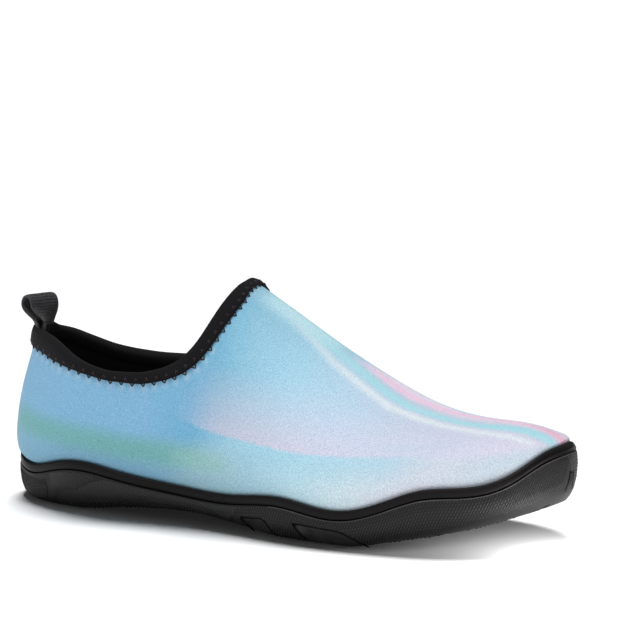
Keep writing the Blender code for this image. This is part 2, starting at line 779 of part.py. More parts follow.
def build_binding(last, upper, edge, tape):
    """A folded tape over the collar's edge: one leg outside the cloth, one inside, and a round top."""
    frames, outer_face, inner_face = collar_frames(upper, ordered_edge(last, edge))
    gap, full = BINDING_GAP * MM, (BINDING_GAP + BINDING_CLOTH) * MM
    gap_in, full_in = BINDING_GAP_IN * MM, (BINDING_GAP_IN + BINDING_CLOTH) * MM

    def on_cloth(face, start, depth):
        """Where the cloth's face lies that far down from the edge, and the way out of it there."""
        found, normals = [], []
        for frame in frames:
            away = (frame[start] - frame[1 - start]).normalized()
            near, normal, _, _ = face.find_nearest(frame[start] + frame[2] * depth * MM)
            found.append(near)
            normals.append(normal if normal.dot(away) > 0 else -normal)
        return found, smoothed(normals)

    outer_low, outer_low_n = on_cloth(outer_face, 0, BINDING_DEPTH_OUT)
    outer_mid, outer_mid_n = on_cloth(outer_face, 0, BINDING_DEPTH_OUT / 2)
    inner_low, inner_low_n = on_cloth(inner_face, 1, BINDING_DEPTH_IN)
    inner_mid, inner_mid_n = on_cloth(inner_face, 1, BINDING_DEPTH_IN / 2)
    rings = []
    for i, (place, inside, down) in enumerate(frames):
        out = (place - inside).normalized()
        rings.append([
            outer_low[i] + outer_low_n[i] * gap,
            outer_low[i] + outer_low_n[i] * full * 0.9,
            outer_mid[i] + outer_mid_n[i] * full * 1.15,
            place + out * full,
            place + out * full * 0.45 - down * full * 0.95,
            inside - out * full * 0.45 - down * full * 0.95,
            inside - out * full_in,
            inner_mid[i] + inner_mid_n[i] * full_in,
            inner_low[i] + inner_low_n[i] * full_in * 0.9,
            inner_low[i] + inner_low_n[i] * gap_in,
            inner_mid[i] + inner_mid_n[i] * gap_in,
            inside - out * gap_in,
            inside - down * gap,
            place - down * gap,
            place + out * gap,
            outer_mid[i] + outer_mid_n[i] * gap * 1.2,
        ])
    points, faces = [p for ring in rings for p in ring], []
    size, n = len(rings[0]), len(rings)
    for i in range(n):
        a, b = i * size, (i + 1) % n * size
        for j in range(size):
            k = (j + 1) % size
            faces.append((a + j, a + k, b + k, b + j))
    mesh = bpy.data.meshes.new("collar_binding")
    mesh.from_pydata(points, [], faces)
    binding = bpy.data.objects.new("collar_binding", mesh)
    bpy.context.scene.collection.objects.link(binding)
    mesh.materials.append(tape)
    face_outwards(binding)
    return binding


def build_insole(last, foam):
    """A flat foam sheet that lies on the cup's floor inside the upper's foot."""
    shell = Shell(last)
    inset = -(UPPER_WALL + GAP + 0.5)
    rings = []
    for height in (GAP, GAP + INSOLE_THICKNESS):
        xy = last.ring(inset)
        z = floor_height(xy[:, 0]) + height
        rings.append(shell.add_ring([Vector((p[0], p[1], h)) for p, h in zip(xy, z)]))
    shell.join(*rings)
    shell.fill(rings[0], 2, lambda x: floor_height(x) + GAP)
    shell.fill(rings[1], 2, lambda x: floor_height(x) + GAP + INSOLE_THICKNESS)
    insole = new_object("insole", shell.points, shell.faces, foam)
    face_outwards(insole)
    return insole


def build_pull_loop(last, webbing):
    """A webbing loop whose two ends lie together inside the heel's collar and which twists as it rises."""
    top = last.arch(0, last.end[0])
    inwards = -(UPPER_WALL + BINDING_GAP_IN + BINDING_CLOTH)
    heel = [last.arch(k, last.end[k], inwards) for k in range(-12, 13)]
    heel_y, heel_x = [-p.y for p in heel], [p.x for p in heel]
    places = np.array([(p.forward, p.up) for p in LOOP], float)
    run = np.concatenate([[0], np.cumsum(np.linalg.norm(np.diff(places, axis=0), axis=1))])
    Row = namedtuple("Row", "run forward up")
    rows = [Row(r, *p) for r, p in zip(run, places)]
    at = np.linspace(0, run[-1], 30)
    line = np.stack([flowing(rows, "forward", at), flowing(rows, "up", at)], 1)
    along = np.gradient(line, axis=0)
    across = np.stack([-along[:, 1], along[:, 0]], 1)
    across *= WEBBING_THICKNESS / 2 / np.linalg.norm(across, axis=1)[:, None]
    inner_face = min(heel_x)
    middle = top.y + LOOP_SIDE
    widths = [WEBBING_WIDTH * share for share in (-0.5, -0.18, 0.18, 0.5)]
    points, faces = [], []
    for p, t in zip(line, across):
        turned = smooth_step(p[1], LOOP_TWIST_FROM, LOOP_TWIST_TO)
        twist = LOOP_TWIST * turned
        for sign, sides in ((1, widths), (-1, widths[::-1])):
            forward, up = p + t * sign
            for side in sides:
                hug = (np.interp(-middle - side, heel_y, heel_x) - inner_face) * (1 - turned)
                x = (forward + hug) * math.cos(twist) + side * math.sin(twist)
                y = side * math.cos(twist) - (forward + hug) * math.sin(twist)
                points.append((inner_face + x, middle + y, top.z + up))
    n, ring = len(line), 2 * len(widths)
    for i in range(n - 1):
        a, b = ring * i, ring * (i + 1)
        for j in range(ring):
            faces.append((a + j, a + (j + 1) % ring, b + (j + 1) % ring, b + j))
    for start in (0, ring * (n - 1)):
        for j in range(len(widths) - 1):
            faces.append((start + j, start + j + 1, start + ring - 2 - j, start + ring - 1 - j))
    loop = new_object("pull_loop", points, faces, webbing)
    face_outwards(loop)
    return loop


def main():
    clear_scene()
    rubber = principled("black_rubber", (0.018, 0.018, 0.019), 0.62)
    cloth = principled("pale_blue_stretch_cloth", (0.42, 0.68, 0.86), 0.75)
    tape = principled("black_binding_tape", (0.014, 0.013, 0.016), 0.85)
    foam = principled("black_foam", (0.012, 0.012, 0.013), 0.9)
    webbing = principled("black_webbing", (0.016, 0.016, 0.018), 0.8)

    last = Last()
    sole = build_outsole(last, rubber)
    cut_tread(sole, last)
    upper, edge = build_upper(last, cloth)
    binding = build_binding(last, upper, edge, tape)
    insole = build_insole(last, foam)
    loop = build_pull_loop(last, webbing)
    for piece in (sole, upper, binding, insole, loop):
        shade(piece)


main()
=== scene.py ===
# %% [markdown]
# # A pull-on water shoe
# The shoe has five solids: a rubber cup sole, a foam insole, a stretch-cloth upper, a tape round its collar
# and a webbing loop at the heel. They are loaded here as a fixed frame. Each piece below is built again over
# its solid, finer and with its real finish. They could be subdivided instead, but that would shrink them, so
# the same measured outline is used again with more points.

# %% Load the solids
import math

import bmesh
import bpy
import numpy as np
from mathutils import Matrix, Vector
from mathutils.bvhtree import BVHTree


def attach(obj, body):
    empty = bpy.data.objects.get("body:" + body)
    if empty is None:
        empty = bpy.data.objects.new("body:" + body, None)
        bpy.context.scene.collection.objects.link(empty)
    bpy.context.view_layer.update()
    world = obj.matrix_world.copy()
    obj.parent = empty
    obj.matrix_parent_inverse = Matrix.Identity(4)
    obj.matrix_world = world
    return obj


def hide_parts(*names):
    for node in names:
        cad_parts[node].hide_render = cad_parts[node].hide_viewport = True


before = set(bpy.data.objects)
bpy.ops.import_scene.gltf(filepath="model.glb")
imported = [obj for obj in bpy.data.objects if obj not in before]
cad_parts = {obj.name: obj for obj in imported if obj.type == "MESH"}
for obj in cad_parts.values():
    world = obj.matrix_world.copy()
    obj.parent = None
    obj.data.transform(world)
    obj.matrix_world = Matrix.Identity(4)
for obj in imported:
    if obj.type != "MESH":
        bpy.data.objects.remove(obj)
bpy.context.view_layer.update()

MM = 0.001
FRAME_X, FRAME_Y = 124.4, -4.4
print("solids:", sorted(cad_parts))

# %% [markdown]
# ## The sizes of the shoe
# A shoe is drawn from tables, as a last maker does: the outline of the foot, the heights along it, and
# sections across it. All are in millimetres. x runs from the back of the heel to the toe, and y to the inner
# side of the foot.

# %% Thicknesses
LENGTH = 250.0
GAP = 0.3
UPPER_WALL = 2.5
RIM_WALL = 1.8
BAND_HEIGHT = 3.3
BAND_GROOVE = 0.8
BAND_GROOVE_DEPTH = 0.9
INSOLE_THICKNESS = 3.5
TAPE_CLOTH = 1.0
TAPE_GAP = 0.5
TAPE_GAP_IN = 0.6
TAPE_DEPTH_IN = 4.2
WEBBING_WIDTH = 14.0
WEBBING_THICKNESS = 1.3
THROAT_X = 106.5
STUD_HEIGHT = 0.35
NOSE_LEAN = 1.6

# %% Outline of the rim: x, outer y, inner y
PLAN = np.array([
    (0, 6.5, 6.5), (6, -10.8, 23.4), (20, -21.8, 34.8), (45, -30.4, 39.6), (75, -33.0, 33.6),
    (103, -36.2, 28.6), (134, -43.9, 32.0), (158, -48.8, 38.2), (178, -49.8, 41.0), (200, -46.2, 39.8),
    (221, -38.3, 34.4), (236, -27.0, 25.8), (246, -13.6, 14.2), (LENGTH, 0.5, 0.5),
])

# %% Heights along the sole: the rim, then the tread's underside and the cup's floor
RIM = np.array([
    (0, 19.2), (8, 16.6), (17, 15.7), (31, 18.9), (45, 20.6), (66, 18.1), (90, 15.7), (120, 15.1),
    (145, 17.3), (168, 14.9), (178, 15.7), (192, 20.2), (206, 25.1), (225, 26.7), (237, 31.4),
    (246, 38.5), (LENGTH, 40.3),
])
BASE = np.array([
    (0, 1.8, 9.4), (12, 0.0, 8.6), (40, 0.0, 8.2), (50, 0.8, 8.3), (72, 3.2, 9.4), (97, 4.0, 10.6), (122, 2.0, 8.6),
    (144, 0.0, 6.0), (172, 0.0, 5.6), (198, 4.0, 10.0), (220, 8.4, 15.4), (238, 13.6, 23.0),
    (LENGTH, 17.6, 30.0),
])
TREAD, FLOOR = 1, 2
WALL_INSET = np.array([(0.0, 6.2), (0.07, 4.1), (0.20, 2.1), (0.42, 0.7), (0.72, 0.0), (1.0, 0.0)])
TAPE_DEPTH = np.array([
    (0, 5.6), (18, 6.4), (28, 6.3), (35, 4.8), (43, 3.4), (52, 2.7), (62, 2.9), (72, 3.6), (86, 4.5), (96, 5.9),
    (105, 6.2), (THROAT_X, 3.6),
])

# %% Sections: x, top, y of the top line, rise, reach, lean
SECTIONS = np.array([
    (0, 140.0, 5.0, 0.36, 0.84, -0.07), (35, 134.0, 4.4, 0.36, 0.66, -0.07),
    (65, 122.0, 4.2, 0.38, 0.54, -0.04), (90, 105.0, 4.3, 0.43, 0.60, -0.01),
    (THROAT_X, 94.6, 4.4, 0.47, 0.68, 0.0), (125, 83.6, 4.6, 0.47, 0.66, 0.0),
    (146, 70.5, 5.0, 0.46, 0.62, 0.0), (167, 58.9, 5.4, 0.46, 0.58, 0.0), (188, 49.5, 5.6, 0.48, 0.58, 0.0),
    (208, 45.7, 5.2, 0.50, 0.60, 0.0), (228, 45.1, 3.8, 0.52, 0.62, 0.0), (240, 43.0, 2.0, 0.54, 0.62, 0.0),
    (LENGTH, 40.6, 0.5, 0.56, 0.62, 0.0),
])
SWELL = np.array([
    (0, 0.0, 0.0), (1.2, 1.9, 0.8), (3, 3.0, 1.4), (7, 3.4, 1.9), (16, 2.5, 1.6), (27, 0.3, 0.9),
    (36, -2.3, 0.2), (43, -4.4, 0.0), (52, -5.9, 0.0), (120, -8.0, 0.0),
])
COLLAR = np.array([
    (0, 69.2, 69.2), (10, 68.7, 66.6), (20, 67.6, 62.4), (30, 64.9, 58.6), (40, 61.4, 56.8), (50, 58.8, 56.2),
    (60, 57.4, 56.6), (70, 57.6, 57.6), (80, 59.6, 59.6), (88, 62.9, 62.9), (93, 66.8, 66.8),
    (97.5, 72.4, 72.4), (101, 79.2, 79.2), (104.2, 87.2, 87.2), (105.6, 91.2, 91.2), (THROAT_X, 94.6, 94.6),
])

# %% [markdown]
# ## Curves through the tables
# A natural spline suits an outline that flows. A cubic that never overshoots suits a height with flat
# stretches, such as the part of the sole that stands on the floor. Numpy keeps both short.


# %% Splines
def flowing(table, column, at):
    """A natural cubic spline through one column of a table."""
    x, y = table[:, 0], table[:, column]
    step, slope = np.diff(x), np.diff(y) / np.diff(x)
    system, right = np.eye(len(x)), np.zeros(len(x))
    for i in range(1, len(x) - 1):
        system[i, i - 1 : i + 2] = step[i - 1], 2 * (step[i - 1] + step[i]), step[i]
        right[i] = 6 * (slope[i] - slope[i - 1])
    bend = np.linalg.solve(system, right)
    at = np.clip(at, x[0], x[-1])
    i = np.clip(np.searchsorted(x, at) - 1, 0, len(x) - 2)
    a, b = (x[i + 1] - at) / step[i], (at - x[i]) / step[i]
    curve = ((a**3 - a) * bend[i] + (b**3 - b) * bend[i + 1]) * step[i] ** 2 / 6
    return a * y[i] + b * y[i + 1] + curve


def hermite(t, step, start, start_slope, end, end_slope):
    return (
        (2 * t**3 - 3 * t**2 + 1) * start + (t**3 - 2 * t**2 + t) * step * start_slope
        + (3 * t**2 - 2 * t**3) * end + (t**3 - t**2) * step * end_slope
    )


def level(table, column, at):
    """A cubic through one column that never overshoots."""
    x, y = table[:, 0], table[:, column]
    slope = np.diff(y) / np.diff(x)
    tangent = np.zeros(len(x))
    same = slope[:-1] * slope[1:] > 0
    tangent[1:-1][same] = 2 / (1 / slope[:-1][same] + 1 / slope[1:][same])
    tangent[0], tangent[-1] = slope[0], slope[-1]
    at = np.clip(at, x[0], x[-1])
    i = np.clip(np.searchsorted(x, at) - 1, 0, len(x) - 2)
    step = x[i + 1] - x[i]
    return hermite((at - x[i]) / step, step, y[i], tangent[i], y[i + 1], tangent[i + 1])


def smooth_step(value, start, end):
    t = np.clip((value - start) / (end - start), 0, 1)
    return t * t * (3 - 2 * t)


def closed_spline(ring, count):
    """A smooth closed curve through the points, sampled count times."""
    after = np.roll(ring, -1, 0)
    chord = np.linalg.norm(after - ring, axis=1)
    n, slope = len(ring), (after - ring) / chord[:, None]
    system, right = np.zeros((n, n)), np.zeros((n, 2))
    for i in range(n):
        before, ahead = chord[i - 1], chord[i]
        system[i, i - 1] += ahead
        system[i, i] += 2 * (before + ahead)
        system[i, (i + 1) % n] += before
        right[i] = 3 * (ahead * slope[i - 1] + before * slope[i])
    tangent = np.linalg.solve(system, right)
    knots = np.concatenate([[0], np.cumsum(chord)])
    at = np.linspace(0, knots[-1], count, endpoint=False)
    i = np.clip(np.searchsorted(knots, at, side="right") - 1, 0, n - 1)
    step = chord[i][:, None]
    j = (i + 1) % n
    return hermite((at - knots[i])[:, None] / step, step, ring[i], tangent[i], ring[j], tangent[j])


def rim_outline(count=24000):
    """The rim's outline from the heel's back, along the outer side to the toe and back, with outward normals."""
    curve = closed_spline(np.concatenate([PLAN[:, :2], PLAN[-2:0:-1, [0, 2]]]), count)
    along = np.roll(curve, -1, 0) - np.roll(curve, 1, 0)
    normal = np.stack([along[:, 1], -along[:, 0]], 1)
    normal /= np.linalg.norm(normal, axis=1)[:, None]
    return curve, normal if normal[0, 0] < 0 else -normal


# %% [markdown]
# ## The last
# A shoe is made round a last, a solid form of the foot. Here it is a set of arches: each one rises from the
# rim on one side to the line along the top of the foot. One class answers every question about the shape, so
# that the cloth, the sole, the stitches and the print all lie on the same surface.


# %% The last
def places_along(heel, middle, throat, vamp, toe):
    """Shares of the length, closer together where the shape turns. Each number is a count of steps."""
    quarter = math.pi / 2
    parts = [
        58 * (1 - np.cos(np.linspace(0, quarter, heel))),
        np.linspace(58, 82, middle),
        THROAT_X - (THROAT_X - 82) * np.linspace(1, 0, throat) ** 1.8,
        np.linspace(THROAT_X, 208, vamp),
        208 + (LENGTH - 208) * np.sin(np.linspace(0, quarter, toe)),
    ]
    return np.concatenate([parts[0]] + [part[1:] for part in parts[1:]]) / LENGTH


def wall_inset(share, x):
    """How far the side wall lies inside the rim at a share of its height. The heel and the nose are steeper."""
    steeper = 0.32 * smooth_step(x, 222, 244) + 0.4 * smooth_step(-x, -52, -20)
    turned_in = 0.5 * smooth_step(x, 240, LENGTH) * np.clip((share - 0.7) / 0.3, 0, 1) ** 2
    return np.interp(share, WALL_INSET[:, 0], WALL_INSET[:, 1]) * (1 - steeper) + turned_in


class Last:
    """Ring point k runs from the heel's back by the outer side to the toe and back by the inner."""

    def __init__(self, shares):
        curve, normal = rim_outline()
        foot = curve - normal * (RIM_WALL + GAP)
        toe = int(np.argmax(foot[:, 0]))
        stations = foot[0, 0] + shares * (foot[toe, 0] - foot[0, 0])
        stations[np.argmin(abs(stations - THROAT_X))] = THROAT_X
        self.count = len(stations) - 1
        picks = [int(np.argmin(abs(foot[: toe + 1, 0] - x))) for x in stations]
        picks += [toe + int(np.argmin(abs(foot[toe:, 0] - x))) for x in stations[-2:0:-1]]
        picks[0], picks[self.count] = 0, toe
        self.size = len(picks)
        self.foot, self.normal = foot[picks], normal[picks]
        self.x = np.concatenate([stations, stations[-2:0:-1]])
        self.foot[:, 0] = self.x
        self.rim_xy = self.foot + self.normal * (RIM_WALL + GAP)
        self.rim = flowing(RIM, 1, self.rim_xy[:, 0])
        self.floor = level(BASE, FLOOR, self.x) + GAP
        self.top, self.middle, self.rise, self.reach = (flowing(SECTIONS, c, self.x) for c in (1, 2, 3, 4))
        self.lean = level(SECTIONS, 5, self.x)
        self.nose = smooth_step(self.x, 240, LENGTH - RIM_WALL - GAP)
        inner = np.arange(self.size) > self.count
        edge = np.where(inner, level(COLLAR, 2, self.x), level(COLLAR, 1, self.x))
        self.end = self.share_at(np.arange(self.size), np.minimum(edge, self.top))
        self.end[self.x >= THROAT_X - 1e-6] = 1.0

    def height(self, k, t):
        low, high = self.rim[k], self.top[k]
        knee = low + self.rise[k] * (high - low)
        return low * (1 - t) ** 3 + 3 * knee * (1 - t) ** 2 * t + high * (3 * (1 - t) * t**2 + t**3)

    def share_at(self, ks, heights):
        t = np.linspace(0, 1, 800)
        return np.array([np.interp(z, self.height(k, t), t) for k, z in zip(ks, heights)])

    def arch(self, k, t, outside=0.0):
        """The upper's outer face at share t of the arch of ring point k."""
        z = self.height(k, t)
        width = (1 - t) ** 3 + 3 * (1 - t) ** 2 * t + 3 * self.reach[k] * (1 - t) * t**2
        above = z - self.rim[k]
        y = self.middle[k] + (self.foot[k, 1] - self.middle[k]) * width + self.lean[k] * above
        heel = 1 - smooth_step(self.x[k], 8, 62)
        swell = heel * level(SWELL, 1, above) + (1 - heel) * level(SWELL, 2, above)
        room = np.clip((self.top[k] - self.rim[k]) / 40, 0, 1)
        out = swell * room * (1 - smooth_step(t, 0.4, 1)) + outside
        back = NOSE_LEAN * self.nose[k]
        x = self.x[k] + self.normal[k, 0] * (out - back)
        return np.stack([x, y + self.normal[k, 1] * (out - back * (1 - t) ** 2), z], -1)

    def in_cup(self, k, share):
        """The upper's outer face inside the sole's cup, from its floor to the rim."""
        z = self.floor[k] + (self.rim[k] - self.floor[k]) * share
        back = (NOSE_LEAN * self.nose[k] * share)[:, None]
        return np.column_stack([self.foot[k] - self.normal[k] * back, z])

    def ring(self, offset):
        return self.foot + self.normal * offset


last = Last(places_along(36, 15, 22, 62, 34))
print("ring points:", last.size)

# %% [markdown]
# ## From numbers to meshes
# Every piece goes through the same few steps: points in millimetres are moved to the shoe's frame in metres,
# faces are turned outwards, and the finished object stays at the origin so that patterns on Object
# coordinates stay put.


# %% Mesh helpers
def to_frame(points):
    return (np.asarray(points, float) - (FRAME_X, FRAME_Y, 0)) * MM


def from_frame(point):
    return np.array(point) / MM + (FRAME_X, FRAME_Y, 0)


def new_object(name, points, faces, edges=()):
    mesh = bpy.data.meshes.new(name)
    mesh.from_pydata([tuple(p) for p in to_frame(points)], list(edges), faces)
    obj = bpy.data.objects.new(name, mesh)
    bpy.context.scene.collection.objects.link(obj)
    return obj


def face_outwards(obj):
    mesh = bmesh.new()
    mesh.from_mesh(obj.data)
    bmesh.ops.recalc_face_normals(mesh, faces=mesh.faces)
    mesh.to_mesh(obj.data)
    mesh.free()


def made_real(obj, name):
    """The evaluated mesh of obj as a plain object, which takes its place."""
    graph = bpy.context.evaluated_depsgraph_get()
    mesh = bpy.data.meshes.new_from_object(obj.evaluated_get(graph))
    obj.data.name = name + "_guide"
    bpy.data.objects.remove(obj)
    mesh.name = name
    real = bpy.data.objects.new(name, mesh)
    bpy.context.scene.collection.objects.link(real)
    return real


def finish_piece(obj, nodes=(), sharp=40):
    """Smooth shading, then the calls that tie a piece to the frame."""
    obj.data.shade_smooth()
    obj.data.set_sharp_from_angle(angle=math.radians(sharp))
    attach(obj, "root")
    if nodes:
        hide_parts(*nodes)
    print(obj.name, len(obj.data.polygons), "faces")
    return obj


def quads(rows, columns, closed):
    """Faces of a grid of points, numbered row by row."""
    found = []
    for i in range(rows - 1):
        for j in range(columns if closed else columns - 1):
            after = (j + 1) % columns
            found.append((i * columns + j, i * columns + after, (i + 1) * columns + after, (i + 1) * columns + j))
    return found


# %% [markdown]
# ## Trees that repeat a shape
# Ribs, stitches and studs repeat by the hundred. Two Geometry Nodes trees make them all: one sweeps a round
# bar along every line of a guide mesh, and the other sets a stud on every point of it. The guides carry only
# places, so the same trees serve the sole and the thread.


# %% Node tree helpers
def new_tree(name, inputs):
    tree = bpy.data.node_groups.new(name, "GeometryNodeTree")
    tree.interface.new_socket("Geometry", in_out="INPUT", socket_type="NodeSocketGeometry")
    for label, kind, value in inputs:
        socket = tree.interface.new_socket(label, in_out="INPUT", socket_type="NodeSocket" + kind)
        if value is not None:
            socket.default_value = value
    tree.interface.new_socket("Geometry", in_out="OUTPUT", socket_type="NodeSocketGeometry")
    return tree, tree.nodes.new("NodeGroupInput").outputs, tree.nodes.new("NodeGroupOutput")


def add(tree, kind, inputs, output=0, **properties):
    """A node with its inputs linked or set. What comes back is its output socket."""
    made = tree.nodes.new(kind)
    for key, value in properties.items():
        setattr(made, key, value)
    for key, value in inputs.items():
        if isinstance(value, bpy.types.NodeSocket):
            tree.links.new(value, made.inputs[key])
        else:
            made.inputs[key].default_value = value
    return made.outputs[output]


def end_tree(tree, geometry, given, end):
    real = add(tree, "GeometryNodeRealizeInstances", {"Geometry": geometry})
    painted = add(tree, "GeometryNodeSetMaterial", {"Geometry": real, "Material": given["Material"]})
    tree.links.new(painted, end.inputs["Geometry"])
    return tree


def grown(guide, tree, name, **values):
    """The guide's mesh put through the tree, as a plain object of its own."""
    modifier = guide.modifiers.new("pattern", "NODES")
    modifier.node_group = tree
    for item in tree.interface.items_tree:
        if item.item_type == "SOCKET" and item.in_out == "INPUT" and item.name in values:
            modifier[item.identifier] = values[item.name]
    return made_real(guide, name)


# %% The two trees
def bar_tree():
    tree, given, end = new_tree(
        "bars_along_lines", [("Radius", "Float", 0.0003), ("Sides", "Int", 5), ("Material", "Material", None)]
    )
    line = add(tree, "GeometryNodeMeshToCurve", {"Mesh": given["Geometry"]})
    section = add(tree, "GeometryNodeCurvePrimitiveCircle", {"Resolution": given["Sides"], "Radius": given["Radius"]})
    bars = add(tree, "GeometryNodeCurveToMesh", {"Curve": line, "Profile Curve": section, "Fill Caps": True})
    return end_tree(tree, bars, given, end)


def stud_tree():
    tree, given, end = new_tree("studs_on_points", [
        ("Radius", "Float", 0.0006), ("Top", "Float", 0.0003), ("Height", "Float", 0.0004), ("Sides", "Int", 6),
        ("Material", "Material", None),
    ])
    stud = add(tree, "GeometryNodeMeshCone", {
        "Vertices": given["Sides"], "Radius Bottom": given["Radius"], "Radius Top": given["Top"],
        "Depth": given["Height"],
    })
    out = add(tree, "GeometryNodeInputNamedAttribute", {"Name": "out"}, data_type="FLOAT_VECTOR")
    along = add(tree, "GeometryNodeInputNamedAttribute", {"Name": "along"}, data_type="FLOAT_VECTOR")
    size = add(tree, "GeometryNodeInputNamedAttribute", {"Name": "size"}, data_type="FLOAT_VECTOR")
    upright = add(tree, "FunctionNodeAlignRotationToVector", {"Vector": out}, axis="Z")
    turned = add(tree, "FunctionNodeAlignRotationToVector", {"Rotation": upright, "Vector": along}, axis="X",
                 pivot_axis="Z")
    studs = add(tree, "GeometryNodeInstanceOnPoints", {
        "Points": given["Geometry"], "Instance": stud, "Rotation": turned, "Scale": size,
    })
    return end_tree(tree, studs, given, end)


BARS, STUDS = bar_tree(), stud_tree()


def lines_guide(name, lines):
    """A mesh of open lines, each an array of points in millimetres."""
    points, edges = [], []
    for line in lines:
        start = len(points)
        points += [tuple(p) for p in line]
        edges += [(start + i, start + i + 1) for i in range(len(line) - 1)]
    return new_object(name, points, [], edges)


def points_guide(name, points, out, along, size):
    """A mesh of loose points, each with the way out, the way along and the size of what stands on it."""
    guide = new_object(name, points, [])
    for label, values in (("out", out), ("along", along), ("size", size)):
        layer = guide.data.attributes.new(label, "FLOAT_VECTOR", "POINT")
        layer.data.foreach_set("vector", np.broadcast_to(values, (len(points), 3)).ravel())
    return guide


print("trees:", BARS.name, STUDS.name)

# %% [markdown]
# ## Materials as node trees
# Each finish is a Principled shader with a colour, a roughness and a bump that come from textures. A small
# helper adds a node and links it in one call, which keeps every tree readable.


# %% Material helpers
def srgb(red, green, blue):
    """A colour given 0 to 255, as the linear colour that the shader wants."""
    share = np.array((red, green, blue)) / 255
    return tuple(np.where(share <= 0.04045, share / 12.92, ((share + 0.055) / 1.055) ** 2.4))


class Finish:
    """A material and its node tree, with calls that add one node each."""

    def __init__(self, name, colour, roughness, **settings):
        self.material = bpy.data.materials.new(name)
        self.material.use_nodes = True
        self.tree = self.material.node_tree
        self.shader = self.tree.nodes["Principled BSDF"]
        self.set("Base Color", (*colour, 1))
        self.set("Roughness", roughness)
        for socket, value in settings.items():
            self.set(socket.replace("_", " "), value)

    def set(self, socket, value):
        self.shader.inputs[socket].default_value = value

    def node(self, kind, inputs=None, **properties):
        made = self.tree.nodes.new("ShaderNode" + kind)
        for key, value in properties.items():
            setattr(made, key, value)
        for key, value in (inputs or {}).items():
            if isinstance(value, bpy.types.NodeSocket):
                self.tree.links.new(value, made.inputs[key])
            else:
                made.inputs[key].default_value = value
        return made

    def link(self, output, socket):
        self.tree.links.new(output, self.shader.inputs[socket])

    def noise(self, scale, detail=2.0, stretch=(1, 1, 1), uv=False):
        """A noise on Object coordinates, with scale in grains per metre."""
        place = self.node("TexCoord").outputs["UV" if uv else "Object"]
        place = self.node("Mapping", {"Vector": place, "Scale": stretch}).outputs["Vector"]
        return self.node("TexNoise", {"Vector": place, "Scale": scale, "Detail": detail}).outputs["Fac"]

    def ranged(self, value, low, high, to_low, to_high):
        spread = {"Value": value, "From Min": low, "From Max": high, "To Min": to_low, "To Max": to_high}
        return self.node("MapRange", spread).outputs["Result"]

    def mixed(self, factor, one, other, blend="MIX"):
        made = self.node("Mix", data_type="RGBA", blend_type=blend)
        for socket, value in ((made.inputs[0], factor), (made.inputs[6], one), (made.inputs[7], other)):
            if isinstance(value, bpy.types.NodeSocket):
                self.tree.links.new(value, socket)
            else:
                socket.default_value = value
        return made.outputs[2]

    def bump(self, height, strength, distance):
        made = self.node("Bump", {"Height": height, "Strength": strength, "Distance": distance * MM})
        self.link(made.outputs["Normal"], "Normal")
        return made


# %% [markdown]
# ## Camera, light and floor
# The shoe is photographed for a shop page: a long lens from a little above the floor, turned round towards
# the toe, on white paper under soft light. Suns with a wide angle light the whole floor evenly, which lamps
# close by would not. The paper has a sun of its own, from above and behind, so that the shadow is short, dark
# and soft, as under a retouched shop picture, while the suns in front model the shoe alone.

# %% Camera
AZIMUTH, ELEVATION, DISTANCE = math.radians(27.5), math.radians(9.8), 1.6
back = Vector((
    math.sin(AZIMUTH) * math.cos(ELEVATION), -math.cos(AZIMUTH) * math.cos(ELEVATION), math.sin(ELEVATION)
))
right = Vector((math.cos(AZIMUTH), math.sin(AZIMUTH), 0))
up = back.cross(right)
shoe_middle = Vector((0.6, 4.4, 45)) * MM
camera = bpy.data.objects.new("camera", bpy.data.cameras.new("camera"))
bpy.context.scene.collection.objects.link(camera)
camera.location = shoe_middle + back * DISTANCE
aim = shoe_middle + right * 13.2 * MM + up * 34.8 * MM
camera.rotation_euler = (aim - camera.location).to_track_quat("-Z", "Y").to_euler()
camera.data.lens = 223.1
camera.data.sensor_width = 36
camera.data.clip_end = 60
bpy.context.scene.camera = camera
bpy.context.scene.view_settings.view_transform = "Standard"
print("camera at", tuple(round(c, 3) for c in camera.location))


# %% Soft suns and a pale room
def sun(name, towards, strength, spread):
    lamp = bpy.data.lights.new(name, "SUN")
    lamp.energy = strength
    lamp.angle = math.radians(spread)
    obj = bpy.data.objects.new(name, lamp)
    obj.rotation_euler = (-Vector(towards)).to_track_quat("-Z", "Y").to_euler()
    bpy.context.scene.collection.objects.link(obj)
    return obj


shoe_suns = [
    sun("key_sun", (-0.15, -0.4, 1.5), 1.95, 38), sun("fill_sun", (0.35, -1.0, 0.15), 0.75, 80),
    sun("rim_sun", (0.1, 1.0, 1.2), 0.35, 70), sun("sky_sun", (0.2, -0.6, 1.0), 0.45, 160),
]
floor_sun = sun("floor_sun", (-0.2, 0.36, 1.0), 3.9, 22)
toe_lamp_light = bpy.data.lights.new("toe_lamp", "POINT")
toe_lamp_light.energy = 0.16
toe_lamp_light.shadow_soft_size = 0.01
toe_lamp = bpy.data.objects.new("toe_lamp", toe_lamp_light)
toe_lamp.location = (0.1436, -0.0176, 0.022)
toe_lamp.visible_camera = False
bpy.context.scene.collection.objects.link(toe_lamp)
ROOM_LIGHT = 0.05
room = bpy.data.worlds.new("white_room")
bpy.context.scene.world = room
room.use_nodes = True
room_nodes, room_links = room.node_tree.nodes, room.node_tree.links
glow = room_nodes["Background"]
glow.inputs["Color"].default_value = (1, 1, 1, 1)
seen = room_nodes.new("ShaderNodeLightPath")
strength = room_nodes.new("ShaderNodeMapRange")
strength.inputs["To Min"].default_value = ROOM_LIGHT
strength.inputs["To Max"].default_value = 1.0
room_links.new(seen.outputs["Is Camera Ray"], strength.inputs["Value"])
room_links.new(strength.outputs["Result"], glow.inputs["Strength"])

